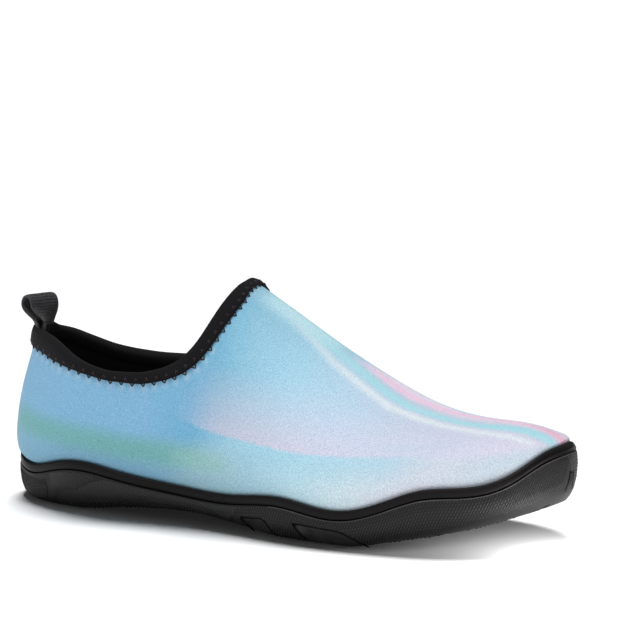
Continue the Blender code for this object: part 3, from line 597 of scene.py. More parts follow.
# %% Paper floor
FLOOR_HALF = 9.0
paper = Finish("white_paper", (0.94, 0.94, 0.94), 0.9, Specular_IOR_Level=0.2)
paper.set("Emission Color", (1, 1, 1, 1))
paper.set("Emission Strength", 0.012)
paper.bump(paper.noise(700), 0.05, 0.1)
floor_mesh = bpy.data.meshes.new("paper_floor")
corners = [(x * FLOOR_HALF, y * FLOOR_HALF, 0) for x, y in ((-1, -1), (1, -1), (1, 1), (-1, 1))]
floor_mesh.from_pydata(corners, [], [(0, 1, 2, 3)])
floor = bpy.data.objects.new("paper_floor", floor_mesh)
bpy.context.scene.collection.objects.link(floor)
floor_mesh.materials.append(paper.material)
lit_floor = bpy.data.collections.new("lit_by_the_floor_sun")
lit_floor.objects.link(floor)
for lamp in (floor_sun, toe_lamp):
    lamp.light_linking.receiver_collection = lit_floor
not_floor = bpy.data.collections.new("lit_by_the_shoe_suns")
not_floor.objects.link(floor)
not_floor.collection_objects[0].light_linking.link_state = "EXCLUDE"
for lamp in shoe_suns:
    lamp.light_linking.receiver_collection = not_floor

# %% [markdown]
# ## The rubber's finish
# The sole is moulded black rubber. Its smooth band has a satin gloss and the rest is duller, with the faint
# pebble of a blasted mould. Fine noises move roughness, bump and a little of the colour. The groove under the
# band, the lines round the nose's patch and the notches' edges are near-black painted shade, the lip under the
# groove is a lighter grey painted highlight, and the ribs are lighter than the wall, partly dust and partly
# painted highlight.

# %% Rubber
band_rubber = Finish("satin_black_rubber", srgb(17, 14, 14), 0.42, Specular_IOR_Level=0.14)
band_rubber.link(band_rubber.ranged(band_rubber.noise(80, 4), 0.3, 0.7, 0.38, 0.5), "Roughness")
band_rubber.bump(band_rubber.noise(2600, 3), 0.12, 0.08)
# Painted shade: near-black rubber for the band's groove, the lines round the nose's patch and the notches' edges,
# darker than the same rubber elsewhere, where shade falls in these recesses.
shade_black_rubber = Finish("painted_shade_black_rubber", srgb(5, 5, 5), 0.8, Specular_IOR_Level=0.1)
shade_black_rubber.bump(shade_black_rubber.noise(2600, 3), 0.2, 0.1)
# Lighter than the wall's rubber: partly dust, partly painted highlight on the ribs' crests. The same rubber serves the
# studs, the pebbles and the notches' flats.
rib_rubber = Finish("ribbed_black_rubber", srgb(44, 43, 43), 0.45, Specular_IOR_Level=0.35)
rib_dust_and_highlight = rib_rubber.noise(240, 3)
rib_rubber.link(rib_rubber.mixed(rib_dust_and_highlight, (*srgb(37, 36, 36), 1), (*srgb(56, 55, 55), 1)), "Base Color")
rib_rubber.link(rib_rubber.ranged(rib_dust_and_highlight, 0.3, 0.7, 0.36, 0.5), "Roughness")
rib_rubber.bump(rib_rubber.noise(3000, 2), 0.2, 0.08)
# Painted highlight: a lighter grey for the thin lip under the band's groove, standing for the light that the lip
# catches.
lip_highlight_rubber = Finish("lip_painted_highlight_rubber", srgb(62, 61, 60), 0.45, Specular_IOR_Level=0.4)
lip_highlight_rubber.link(lip_highlight_rubber.ranged(lip_highlight_rubber.noise(240, 3), 0.3, 0.7, 0.36, 0.52), "Roughness")
lip_highlight_rubber.bump(lip_highlight_rubber.noise(3000, 2), 0.2, 0.06)
rubber = Finish("black_rubber", srgb(28, 27, 27), 0.55, Specular_IOR_Level=0.2)
mould_grain = rubber.noise(2600, 3)
worn = rubber.noise(60, 4)
rubber.link(rubber.ranged(worn, 0.3, 0.7, 0.42, 0.56), "Roughness")
rubber.link(rubber.mixed(worn, (*srgb(24, 23, 23), 1), (*srgb(33, 32, 32), 1)), "Base Color")
rubber.bump(mould_grain, 0.25, 0.12)

# %% [markdown]
# ## The cup sole
# The real sole is one moulding: a tread, a side wall that bulges, a dark groove, a smooth band and a rim that
# laps the cloth. It is swept here as rings round the outline, from the tread's edge up over the rim and down
# to the cup's floor. Rings are easy to round: each corner gets two or three of them.


# %% Shell of rings
def fill_ring(points, faces, start, rows, height):
    """Closes a ring with cross rows from its outer to its inner side, at the height given for each x."""
    lines = []
    for station in range(last.count + 1):
        outer, inner = start + station, start + (last.size - station) % last.size
        if outer == inner:
            lines.append([outer] * (rows + 1))
            continue
        a, b = points[outer], points[inner]
        line = [outer]
        for i in range(1, rows):
            x, y = a[0] + (b[0] - a[0]) * i / rows, a[1] + (b[1] - a[1]) * i / rows
            line.append(len(points))
            points.append((x, y, float(height(x))))
        lines.append(line + [inner])
    for here, there in zip(lines, lines[1:]):
        for i in range(rows):
            corners = [here[i], here[i + 1], there[i + 1], there[i]]
            face = [c for j, c in enumerate(corners) if c != corners[j - 1]]
            if len(face) > 2:
                faces.append(tuple(face))


def tread_height(x):
    """The tread's skin, which lies a stud's height above the ground."""
    return level(BASE, TREAD, x) + STUD_HEIGHT


def ringed(xy, z):
    return [tuple(p) for p in np.column_stack([xy, np.broadcast_to(z, len(xy))])]


def sole_rings():
    rim_offset = RIM_WALL + GAP
    band_foot = last.rim - BAND_HEIGHT
    wall_top = band_foot - BAND_GROOVE
    rings = []
    for share in (0, 0.02, 0.05, 0.09, 0.14, 0.2, 0.28, 0.38, 0.5, 0.62, 0.74, 0.87, 1.0):
        xy = last.foot + last.normal * (rim_offset - wall_inset(share, last.x))[:, None]
        low = tread_height(xy[:, 0])
        rings.append(ringed(xy, low + (wall_top - low) * share))
    nose = smooth_step(last.x, 228, 248)
    groove = BAND_GROOVE_DEPTH * (1 - smooth_step(last.x, 243, 247))
    lip, lip_down = 0.7 + 0.8 * nose, 0.7 + 2.1 * nose
    top = last.rim - 0.3 * nose

    def upper_ring(offset, z):
        """A ring above the wall. Towards the top it leans back at the nose, as far as the cloth does."""
        share = np.clip((z - last.rim + 9) / 9, 0, 1)
        rings.append(ringed(last.ring((offset - NOSE_LEAN * last.nose * share**2)[:, None]), z))

    rim_wide = np.full(last.size, rim_offset)
    upper_ring(rim_wide - 0.2 * groove, wall_top + 0.12)
    upper_ring(rim_wide - groove, wall_top + 0.2)
    upper_ring(rim_wide - groove, band_foot - 0.2)
    upper_ring(rim_wide - 0.2 * groove, band_foot - 0.1)
    upper_ring(rim_wide, band_foot + 0.15)
    upper_ring(rim_wide + 0.1, band_foot + BAND_HEIGHT * 0.35)
    upper_ring(rim_wide, top - lip_down)
    for turn in (25, 50, 75, 90):
        angle = math.radians(turn)
        upper_ring(rim_wide - lip * (1 - math.cos(angle)), top - lip_down * (1 - math.sin(angle)))
    upper_ring(np.full(last.size, GAP + 0.15), top)
    upper_ring(np.full(last.size, GAP), top - 0.2)
    rings.append(ringed(last.ring(GAP), last.floor - GAP))
    return rings


rings = sole_rings()
sole_points = [p for ring in rings for p in ring]
sole_faces = quads(len(rings), last.size, True)
fill_ring(sole_points, sole_faces, 0, 12, tread_height)
fill_ring(sole_points, sole_faces, (len(rings) - 1) * last.size, 4, lambda x: level(BASE, FLOOR, x))
sole_shell = new_object("sole_shell", sole_points, sole_faces)
for finish in (rubber, shade_black_rubber, band_rubber):
    sole_shell.data.materials.append(finish.material)
WALL_TOP_RING, BAND_FOOT_RING, RIM_TOP_RING = 13, 16, 24
# The groove's rings take the near-black painted shade, and the band up to the rim takes the satin rubber.
for number, face in enumerate(sole_shell.data.polygons):
    ring = number // last.size
    if WALL_TOP_RING <= ring < BAND_FOOT_RING:
        face.material_index = 1
    elif BAND_FOOT_RING <= ring < RIM_TOP_RING:
        face.material_index = 2
face_outwards(sole_shell)
print("sole shell:", len(sole_faces), "faces")

# %% [markdown]
# ## Grooves, holes and notches of the sole
# The tread's main grooves are nested chevrons under the ball and nested ovals under the heel. Each is drawn
# as a line, given a width and cut away with a Boolean, as a mould maker's cutter would leave it. The same
# goes for the drain holes and the two flats let into the side at the waist.

# %% Groove lines in plan
GROOVE_WIDTH, GROOVE_DEPTH = 1.5, 1.0
CHEVRONS = [
    [(181.7, -46), (200.0, -31.2), (223.4, -15.7), (238.3, -7.6), (244.0, -3.2), (244.4, -0.8), (241.0, 2.6),
     (223.0, 12.6), (202.3, 25.1), (183.0, 38)],
    [(160.0, -46), (176.6, -33.8), (193.3, -22.0), (211.0, -12.8), (224.7, -6.9), (229.6, -4.0), (229.4, -2.4),
     (224.0, -0.4), (206.9, 6.6), (187.2, 18.3), (160.0, 36)],
    [(148.0, -41), (170.1, -25.0), (190.2, -14.0), (208.5, -7.2), (213.1, -4.8), (213.0, -3.0), (208.1, -0.4),
     (186.0, 11.0), (171.0, 18.7), (145.0, 34)],
    [(130.0, -37), (141.0, -31.0), (171.8, -14.4), (189.7, -6.9), (194.9, -4.2), (194.8, -2.8), (190.1, -1.1),
     (170.3, 6.8), (151.1, 16.3), (130.0, 29)],
]
TOE_ARCS = [
    [(245, -9.4), (234, -16.6), (221, -27.0), (208.3, -39.1)],
    [(245, 8.4), (236, 15.4), (224, 23.6), (210.3, 31.4)],
]
HEEL_OVALS = [
    (94.5, 6.2, 21.4, 4.2), (86.2, 10.2, 17.4, 4.3), (77.4, 14.2, 13.3, 4.4), (68.4, 18.4, 9.3, 4.5),
    (59.0, 23.0, 5.4, 4.6),
]
DRAIN_HOLES = [
    (235.3, -1.5), (221.5, -12.9), (207.0, -20.2), (191.2, -30.9), (220.6, 7.2), (204.8, 15.8), (188.8, 25.7),
    (175.4, -3.5), (163.6, 2.6), (162.7, -11.8),
]
MOULD_MARK = [(134.4, 7.5)]
NOTCHES = [
    [(125.3, 6.5, 6.9), (127.6, 4.1, 7.1), (131.0, -1, 7.3), (136.3, -1, 7.7), (141.0, -1, 2.6),
     (143.0, -1, -0.5)],
    [(151.7, 7.6, 8.0), (156.0, 2.8, 7.8), (159.0, -1, 7.7), (165.0, -1, 7.4), (172.0, -1, 7.0),
     (180.0, -1, 3.6), (184.0, -1, -0.5)],
]


# %% Cutters
def resampled(line, spacing):
    """A smooth line through the points, with one about every spacing millimetres."""
    line = np.array(line, float)
    run = np.concatenate([[0], np.cumsum(np.linalg.norm(np.diff(line, axis=0), axis=1))])
    at = np.linspace(0, run[-1], max(4, int(run[-1] / spacing)) + 1)
    table = np.column_stack([run, line])
    return np.stack([level(table, column, at) for column in range(1, table.shape[1])], 1)


def oval_line(front, rear, half_width, y):
    centre, half_length = (front + rear) / 2, (front - rear) / 2
    turn = np.linspace(0, 2 * np.pi, 60, endpoint=False)
    across = half_width * (1 - 0.12 * np.cos(turn)) * np.sin(turn)
    return np.stack([centre + half_length * np.cos(turn), y + across], 1)


def groove_cutter(lines):
    """Bars that follow the lines in plan and reach the groove's depth into the tread."""
    points, faces = [], []
    for line, closed in lines:
        along = np.roll(line, -1, 0) - np.roll(line, 1, 0) if closed else np.gradient(line, axis=0)
        side = np.stack([-along[:, 1], along[:, 0]], 1)
        side *= GROOVE_WIDTH / 2 / np.linalg.norm(side, axis=1)[:, None]
        start, n = len(points), len(line)
        for p, s in zip(line, side):
            top = float(tread_height(p[0])) + GROOVE_DEPTH
            for sign, z in ((1, top), (-1, top), (-1, -4), (1, -4)):
                points.append((p[0] + sign * s[0], p[1] + sign * s[1], z))
        for i in range(n if closed else n - 1):
            a, b = start + 4 * i, start + 4 * ((i + 1) % n)
            faces += [(a + j, a + (j + 1) % 4, b + (j + 1) % 4, b + j) for j in range(4)]
        if not closed:
            faces.append(tuple(start + j for j in range(4)))
            faces.append(tuple(start + 4 * (n - 1) + 3 - j for j in range(4)))
    return new_object("groove_cutter", points, faces)


def hole_cutter(name, places, diameter, depth, sides=20):
    points, faces = [], []
    turn = 2 * np.pi * np.arange(sides) / sides
    for x, y in places:
        start = len(points)
        for z in (-5, float(tread_height(x)) + depth):
            points += [(x + diameter / 2 * c, y + diameter / 2 * s, z) for c, s in zip(np.cos(turn), np.sin(turn))]
        faces += [(start + i, start + (i + 1) % sides, start + sides + (i + 1) % sides, start + sides + i)
                  for i in range(sides)]
        faces.append(tuple(start + sides - 1 - i for i in range(sides)))
        faces.append(tuple(start + sides + i for i in range(sides)))
    return new_object(name, points, faces)


outer_half = slice(0, last.count + 1)


def outer_wall(x, z):
    """The y of the side wall's face on the outer side of the foot."""
    rim_xy = last.rim_xy[outer_half]
    edge = np.interp(x, rim_xy[:, 0], rim_xy[:, 1])
    top = np.interp(x, rim_xy[:, 0], last.rim[outer_half]) - BAND_HEIGHT - BAND_GROOVE
    low = float(tread_height(x))
    return edge + wall_inset((z - low) / (top - low), x)


def in_notch(x, z, margin=0.5):
    for table in NOTCHES:
        table = np.array(table)
        if table[0, 0] - margin < x < table[-1, 0] + margin:
            low, high = np.interp(x, table[:, 0], table[:, 1]), np.interp(x, table[:, 0], table[:, 2])
            if low - margin < z < high + margin:
                return True
    return False


def notch_cutter():
    """Prisms that reach in from the outer side of the foot, each ending in a flat."""
    points, faces = [], []
    depths = ((0.0, 0.35), (0.5, 1.05), (1.0, 1.0))
    for table in NOTCHES:
        start = len(points)
        table = resampled(table, 1.5)
        for x, low, high in table:
            column = [(low + (high - low) * share, depth) for share, depth in depths]
            points += [(x, outer_wall(x, z) + depth, z) for z, depth in column]
            points += [(x, -60, z) for z, _ in column[::-1]]
        for i in range(len(table) - 1):
            a, b = start + 6 * i, start + 6 * (i + 1)
            faces += [(a + j, a + (j + 1) % 6, b + (j + 1) % 6, b + j) for j in range(6)]
        for end in (start, start + 6 * (len(table) - 1)):
            faces += [(end + j, end + j + 1, end + 4 - j, end + 5 - j) for j in range(2)]
    return new_object("notch_cutter", points, faces)


def cut(obj, cutter):
    face_outwards(cutter)
    modifier = obj.modifiers.new(cutter.name, "BOOLEAN")
    modifier.operation = "DIFFERENCE"
    modifier.object = cutter
    return cutter


chevron_lines = [resampled(line, 2.5) for line in CHEVRONS + TOE_ARCS]
oval_lines = [oval_line(*oval) for oval in HEEL_OVALS]
grooves = [(line, False) for line in chevron_lines] + [(line, True) for line in oval_lines]
cutters = [
    cut(sole_shell, notch_cutter()),
    cut(sole_shell, groove_cutter(grooves)),
    cut(sole_shell, hole_cutter("drain_hole_cutter", DRAIN_HOLES, 3.2, 30)),
    cut(sole_shell, hole_cutter("mould_mark_cutter", MOULD_MARK, 7.5, 0.6)),
]
outsole = made_real(sole_shell, "outsole_moulding")
for cutter in cutters:
    bpy.data.objects.remove(cutter)
outsole.data.materials.append(rib_rubber.material)
for face in outsole.data.polygons:
    x, y, z = from_frame(face.center)
    if y < -20 and face.normal.y < -0.5 and face.material_index == 0 and in_notch(x, z, -0.1):
        face.material_index = 3
finish_piece(outsole, ["outsole"], sharp=35)

# %% [markdown]
# ## Ribs of the side wall
# The wall is moulded with fine ribs: a fan of short ones round the heel, then a herring-bone that turns into
# plain slanting ribs, and from the waist to the toe a grid of small dashes in rows under the band. Ribs could be
# bump only, but they catch the light along the edge of the shoe, so they are thin bars on the wall's own
# surface.


# %% Places on the side wall
ring_round = np.vstack([last.rim_xy, last.rim_xy[:1]])
wall_run = np.concatenate([[0], np.cumsum(np.linalg.norm(np.diff(ring_round, axis=0), axis=1))])
ROUND = wall_run[-1]
TOE_RUN = wall_run[last.count]
WALL_TOP = last.rim - BAND_HEIGHT - BAND_GROOVE


def round_ring(values, run):
    return np.interp(run % ROUND, wall_run, np.append(values, values[0]))


def wall_edge(run):
    return np.stack([round_ring(last.rim_xy[:, 0], run), round_ring(last.rim_xy[:, 1], run)], -1)


def wall_height(run):
    return round_ring(WALL_TOP, run) - tread_height(wall_edge(run)[..., 0])


def on_wall(run, drop, lift):
    """Points of the side wall at a run round the sole, drop millimetres under the wall's top."""
    run, drop = np.broadcast_arrays(np.asarray(run, float), np.asarray(drop, float))
    normal = np.stack([round_ring(last.normal[:, 0], run), round_ring(last.normal[:, 1], run)], -1)
    normal /= np.linalg.norm(normal, axis=-1)[..., None]
    share = 1 - drop / wall_height(run)
    edge = wall_edge(run)
    xy = edge + normal * (lift - wall_inset(share, edge[..., 0]))[..., None]
    return np.column_stack([xy, round_ring(WALL_TOP, run) - drop])


def run_at(x):
    """The run of the outer side where the sole's edge passes x."""
    return float(np.interp(x, last.rim_xy[outer_half, 0], wall_run[outer_half]))


# %% Rib lines
RIB_GAP, HERRINGBONE_GAP, RIB_SUNK = 1.25, 1.45, -0.06
RIB_RADIUS, HEEL_RIB_RADIUS, LIP_RADIUS = 0.28, 0.36, 0.24
FAN_RUN, HERRINGBONE_RUN, HERRINGBONE_TOP_RUN = 44, 60, 75


def both_sides(run, drop, lift=RIB_SUNK):
    """The same line on the outer and the inner side of the sole."""
    return [on_wall(run, drop, lift), on_wall(ROUND - run, drop, lift)]


def slanted(start, lean, keep):
    """A rib over the wall's height from a start at its middle, cut to where keep(run, share) holds."""
    share = np.linspace(0.05, 0.95, 19)
    run = start + lean * (share - 0.5) * float(wall_height(np.array(start)))
    kept = keep(run, share)
    if kept.sum() < 3:
        return []
    run, share = run[kept], share[kept]
    return both_sides(run, (1 - share) * wall_height(run))


def herringbone_end(share):
    """The run where the herring-bone's upper half gives way to plain ribs."""
    return HERRINGBONE_RUN + (HERRINGBONE_TOP_RUN - HERRINGBONE_RUN) * (share - 0.5) / 0.45


heel_rib_lines, rib_lines = [], []
for low in np.linspace(0.04, 0.95, 10):
    run = np.linspace(0.6, FAN_RUN - 3 * abs(low - 0.5), 24)
    share = low + 0.45 * (0.5 - low) * (run / FAN_RUN) ** 1.5
    heel_rib_lines += both_sides(run, (1 - share) * wall_height(run))
for start in np.arange(FAN_RUN - 4, HERRINGBONE_TOP_RUN + 6, HERRINGBONE_GAP):
    rib_lines += slanted(start, -0.9, lambda run, share: (
        (share > 0.53) & (run > FAN_RUN + 1.5) & (run < herringbone_end(share) - 0.5)))
for start in np.arange(FAN_RUN - 4, run_at(121), RIB_GAP):
    rib_lines += slanted(start, 1.0, lambda run, share: (
        (run > FAN_RUN + 3 + 6 * (0.5 - share)) & ((share < 0.5) | (run > herringbone_end(share) + 0.5))))
print("ribs:", len(heel_rib_lines), "round the heel and", len(rib_lines), "along the waist")


# %% Dashes in rows
DASH_PITCH, DASH_ROW, DASH_LENGTH, DASH_LEAN = 1.3, 1.3, 0.95, 0.5
TOE_PATCH = np.array([
    (-0.01, 9.5), (0.03, 7.0), (0.1, 5.2), (0.2, 3.7), (0.3, 2.9), (0.4, 2.3), (0.5, 1.9), (0.6, 1.7), (0.66, -9),
])


def patch_reach(share):
    """How far the nose's patch reaches from the tip at a share of the wall's height."""
    return np.interp(share, TOE_PATCH[:, 0], TOE_PATCH[:, 1])


for row in range(24):
    drop = 0.9 + row * DASH_ROW
    for run in np.arange(run_at(122), TOE_RUN - 0.3, DASH_PITCH):
        start = run - DASH_LEAN * drop
        tall = float(wall_height(np.array(start)))
        if start < run_at(121) or drop > tall - 0.7 or start > TOE_RUN - patch_reach(1 - drop / tall) - 0.7:
            continue
        runs = np.array([start - DASH_LEAN * DASH_LENGTH / 2, start + DASH_LEAN * DASH_LENGTH / 2])
        drops = np.array([drop + DASH_LENGTH / 2, drop - DASH_LENGTH / 2])
        for line in both_sides(runs, drops, -0.1):
            if not (line[0, 1] < 0 and in_notch(line[0, 0], line[0, 2])):
                rib_lines.append(line)
lip_run = np.arange(run_at(140), TOE_RUN, 1.5)
lip_lines = both_sides(lip_run, np.full(len(lip_run), 0.1), 0.06)
patch_share = np.linspace(0.03, 0.62, 14)
patch_drop = (1 - patch_share) * wall_height(np.array(TOE_RUN))
patch_lines = [on_wall(TOE_RUN + side * patch_reach(patch_share), patch_drop, -0.1) for side in (-1, 1)]
for start in np.arange(0.08, 0.62, 0.045):
    reach = 0.8 * patch_reach(start)
    drops = (1 - np.array([start - 0.02, start + 0.02])) * wall_height(np.array(TOE_RUN))
    rib_lines.append(on_wall(TOE_RUN + np.array([-reach, reach]), drops, RIB_SUNK))

# %% Grow the ribs
# Here the lip's lighter grey is painted highlight, and the near-black lines round the nose's patch are painted shade.
for name, lines, radius, sides, finish in (
    ("side_wall_ribs", rib_lines, RIB_RADIUS, 4, rib_rubber), ("heel_ribs", heel_rib_lines, HEEL_RIB_RADIUS, 5, rib_rubber),
    ("side_wall_lip", lip_lines, LIP_RADIUS, 6, lip_highlight_rubber), ("toe_patch_edge", patch_lines, 0.34, 6, shade_black_rubber),
):
    bars = grown(lines_guide(name + "_guide", lines), BARS, name, Radius=radius * MM, Sides=sides,
                 Material=finish.material)
    finish_piece(bars, sharp=60)

# %% Painted shadow along the notches' edges
# Thin near-black bars laid on the wall along each notch's upper and lower edges are painted shadow, where the recess's
# edges are shaded.
notch_lines = []
for table in NOTCHES:
    table = resampled(table, 1.5)
    for column in (2, 1):
        edge = [(x, z) for x, z in table[:, (0, column)] if z > 0.4]
        notch_lines.append([(x, outer_wall(x, z) - 0.02, z) for x, z in edge])
notch_shadow_bars = grown(lines_guide("notch_guide", notch_lines), BARS, "notch_shadow_bars", Radius=0.3 * MM, Sides=6,
                   Material=shade_black_rubber.material)
finish_piece(notch_shadow_bars, sharp=60)

# %% [markdown]
# ## Studs and grain of the tread
# Under the shoe, fine studs stand in staggered rows everywhere but in the grooves. The bands between some of
# the grooves are pebbled instead. Both are made of small cut cones set on points: a regular grid gives the
# studs and a shaken one gives the pebbles.


# %% Where the studs stand
def inside(points, ring):
    """Which points lie inside a closed ring, in plan."""
    x, y = points[:, 0], points[:, 1]
    found = np.zeros(len(points), bool)
    for (ax, ay), (bx, by) in zip(ring, np.roll(ring, -1, 0)):
        crosses = (ay > y) != (by > y)
        with np.errstate(divide="ignore", invalid="ignore"):
            found ^= crosses & (x < (bx - ax) * (y - ay) / (by - ay) + ax)
    return found


def distance_to(points, line, closed):
    line = np.vstack([line, line[:1]]) if closed else line
    nearest = np.full(len(points), 1e9)
    for a, b in zip(line, line[1:]):
        t = np.clip((points - a) @ (b - a) / np.sum((b - a) ** 2), 0, 1)
        nearest = np.minimum(nearest, np.linalg.norm(points - a - t[:, None] * (b - a), axis=1))
    return nearest


def clear_of_cuts(points, room):
    keep = inside(points, last.ring(RIM_WALL + GAP - WALL_INSET[0, 1] - room))
    for line, closed in grooves:
        keep &= distance_to(points, line, closed) > GROOVE_WIDTH / 2 + room
    for places, size in ((DRAIN_HOLES, 3.2), (MOULD_MARK, 7.5)):
        for place in places:
            keep &= np.linalg.norm(points - place, axis=1) > size / 2 + room
    return points[keep]


def pebbled(points):
    """The bands with a pebble grain: between the grooves of each chevron, and every second oval."""
    chevrons = [inside(points, line) for line in chevron_lines[:4]]
    ovals = [inside(points, line) for line in oval_lines]
    found = (chevrons[0] & ~chevrons[1]) | (chevrons[2] & ~chevrons[3])
    return found | (ovals[0] & ~ovals[1]) | (ovals[2] & ~ovals[3]) | ovals[4]


def grid_over_sole(pitch, shake=0.0):
    rows = np.arange(-52, 46, pitch * 0.866)
    found = []
    for number, y in enumerate(rows):
        x = np.arange(4 + (pitch / 2 if number % 2 else 0), 250, pitch)
        found.append(np.column_stack([x, np.full(len(x), y)]))
    points = np.concatenate(found)
    return points + np.random.default_rng(7).uniform(-shake, shake, points.shape)


def tread_guide(name, points, size):
    slope = (tread_height(points[:, 0] + 0.5) - tread_height(points[:, 0] - 0.5))
    out = np.column_stack([slope, np.zeros(len(slope)), -np.ones(len(slope))])
    skin = np.column_stack([points, tread_height(points[:, 0]) + 0.08])
    return points_guide(name, skin, out, (1.0, 0.0, 0.0), size)


# %% Studs and pebbles
STUD_PITCH, PEBBLE_PITCH = 1.9, 1.15
stud_places = clear_of_cuts(grid_over_sole(STUD_PITCH), 0.55)
stud_places = stud_places[~pebbled(stud_places)]
near_edge = distance_to(stud_places, last.ring(RIM_WALL + GAP - WALL_INSET[0, 1]), True) < 7
stud_size = np.where(near_edge[:, None], (1.45, 0.75, 1.0), (1.0, 1.0, 1.0))
studs = grown(tread_guide("stud_guide", stud_places, stud_size), STUDS, "tread_studs", Radius=0.72 * MM,
              Top=0.42 * MM, Height=(STUD_HEIGHT + 0.05) * MM, Sides=6, Material=rib_rubber.material)
finish_piece(studs, sharp=30)
pebble_places = clear_of_cuts(grid_over_sole(PEBBLE_PITCH, 0.3), 0.3)
pebble_places = pebble_places[pebbled(pebble_places)]
pebble_size = np.random.default_rng(11).uniform(0.7, 1.15, (len(pebble_places), 3))
pebbles = grown(tread_guide("pebble_guide", pebble_places, pebble_size), STUDS, "tread_pebbles", Radius=0.5 * MM,
                Top=0.26 * MM, Height=0.3 * MM, Sides=5, Material=rib_rubber.material)
finish_piece(pebbles, sharp=60)

# %% [markdown]
# ## The print on the upper
# The cloth is printed with a soft blend: sky blue at the heel, paler towards the toe, a green streak low down,
# a pink wedge along the side and three streaks over the instep. A picture could be wrapped round the shoe.
# Here each colour is a brush stroke instead: a line on the cloth, a width and a soft edge, painted into a
# colour attribute. The crisp lower edge of the wedge is finer than the mesh, so the mesh only carries the
# height above it, and the material draws the edge. Not all of it is print: a pale glow along the ridge behind
# the throat and a brighter lavender past the ridge are painted highlight, and a grey low at the toe is painted
# shade.


# %% Brush strokes
def on_cloth(path):
    """Points of a path given as x, y and height, returned as they are given."""
    return np.array(path, float)


def along_line(points, path):
    """How far each point lies from a path, and how far along the path that is."""
    nearest, place, run = np.full(len(points), 1e9), np.zeros(len(points)), 0.0
    for a, b in zip(path, path[1:]):
        span = np.linalg.norm(b - a)
        t = np.clip((points - a) @ (b - a) / span**2, 0, 1)
        far = np.linalg.norm(points - (a + t[:, None] * (b - a)), axis=1)
        closer = far < nearest
        nearest = np.where(closer, far, nearest)
        place = np.where(closer, run + t * span, place)
        run += span
    return nearest, place, run


def stroke(points, path, half_width, soft, fade=(0.0, 0.0)):
    """How much of a stroke's paint each point takes, from 0 to 1, with its ends faded over the given lengths."""
    nearest, place, run = along_line(points, path)
    paint = 1 - smooth_step(nearest, half_width - soft, half_width + soft)
    if fade[0]:
        paint *= smooth_step(place, 0, fade[0])
    if fade[1]:
        paint *= smooth_step(run - place, 0, fade[1])
    return paint


def blended(value, stops):
    """A colour for each value, eased between named stops."""
    at = np.array([stop[0] for stop in stops], float)
    colours = np.array([stop[1] for stop in stops])
    return np.stack([np.interp(value, at, colours[:, c]) for c in range(3)], 1)


def painted(base, colour, amount):
    return base + (np.array(colour) - base) * np.asarray(amount)[:, None]


# %% Colours and paths of the print
HIGH_BLEND = [
    (0, srgb(129, 180, 214)), (75, srgb(131, 183, 217)), (98, srgb(113, 177, 212)), (110, srgb(129, 187, 215)),
    (120, srgb(147, 199, 223)), (142, srgb(170, 215, 236)), (160, srgb(188, 219, 240)),
    (188, srgb(207, 217, 236)), (215, srgb(214, 218, 237)), (250, srgb(222, 220, 238)),
]
LOW_BLEND = [
    (0, srgb(128, 178, 204)), (80, srgb(127, 178, 207)), (104, srgb(153, 192, 206)), (130, srgb(165, 204, 220)),
    (152, srgb(184, 218, 230)), (176, srgb(204, 221, 230)), (200, srgb(214, 216, 227)), (228, srgb(202, 217, 229)),
    (250, srgb(202, 221, 232)),
]
WEDGE_BLEND = [
    (88, srgb(160, 184, 214)), (110, srgb(190, 196, 217)), (127, srgb(203, 204, 222)), (150, srgb(212, 211, 230)),
    (175, srgb(214, 215, 236)), (205, srgb(212, 216, 237)), (228, srgb(222, 220, 239)), (250, srgb(220, 220, 238)),
]
GREEN, OLIVE, TURQUOISE = srgb(112, 176, 168), srgb(148, 196, 186), srgb(176, 231, 242)
CREAM, PINK, PINK_TIP = srgb(236, 246, 250), srgb(250, 216, 240), srgb(245, 196, 218)
# In the line below only the cyan is plain print: the ridge's lavender is print brightened into a painted highlight, the
# grey is painted shade and the last colour is a painted highlight.
LAVENDER_AND_HIGHLIGHT, CYAN, RIM_SHADE_GREY, PAINTED_HIGHLIGHT = srgb(246, 236, 252), srgb(163, 213, 233), srgb(184, 184, 190), srgb(206, 246, 253)
GREEN_PATH = [
    (0.5, 6, 34), (5, -9, 34), (11.6, -17.6, 33.9), (29.8, -27.2, 31.9), (51.2, -31.5, 30.2), (70.4, -32.5, 28.3),
    (89.4, -33.6, 27.6), (101.8, -35.2, 27.3), (112.0, -37.3, 26.9),
]
OLIVE_PATH = [(84, -33, 27.8), (101.8, -35.2, 27.0), (112, -37.3, 26.2), (124, -40.0, 25.4)]
WEDGE_EDGE = np.array([
    (86, 43.5), (98.0, 40.7), (103.2, 39.3), (108.3, 38.6), (118.6, 37.4), (128.9, 36.7), (139.0, 35.7),
    (148.6, 35.0), (161.7, 34.8), (174.0, 34.8), (193.7, 35.9), (216.8, 36.9), (250, 41),
])
WEDGE_RISE = np.array([(86, 28), (150, 25), (172, 15), (195, 9), (250, 6)])
PAINTED_HIGHLIGHT_PATH = [(108, 3, 93), (116.5, 3.2, 88.3), (127, 3.4, 82.0), (139, 3.6, 74.9), (152, 3.8, 67.2)]
CREAM_PATH = [
    (115.5, 1.5, 89.1), (119.3, 0.2, 86.7), (127.0, -1.6, 81.8), (134.9, -3.6, 76.5), (142.9, -6.2, 71.0),
    (150.8, -8.5, 65.8), (158.2, -10.0, 61.3), (167.9, -11.7, 55.9), (177.6, -13.5, 50.9), (185.8, -12.4, 48.2),
    (194.4, -12.1, 46.0), (203.1, -12.0, 44.7), (221.0, -13.5, 43.7), (229.3, -12.9, 43.1), (237.9, -13.1, 41.4),
    (243.1, -13.5, 39.6),
]
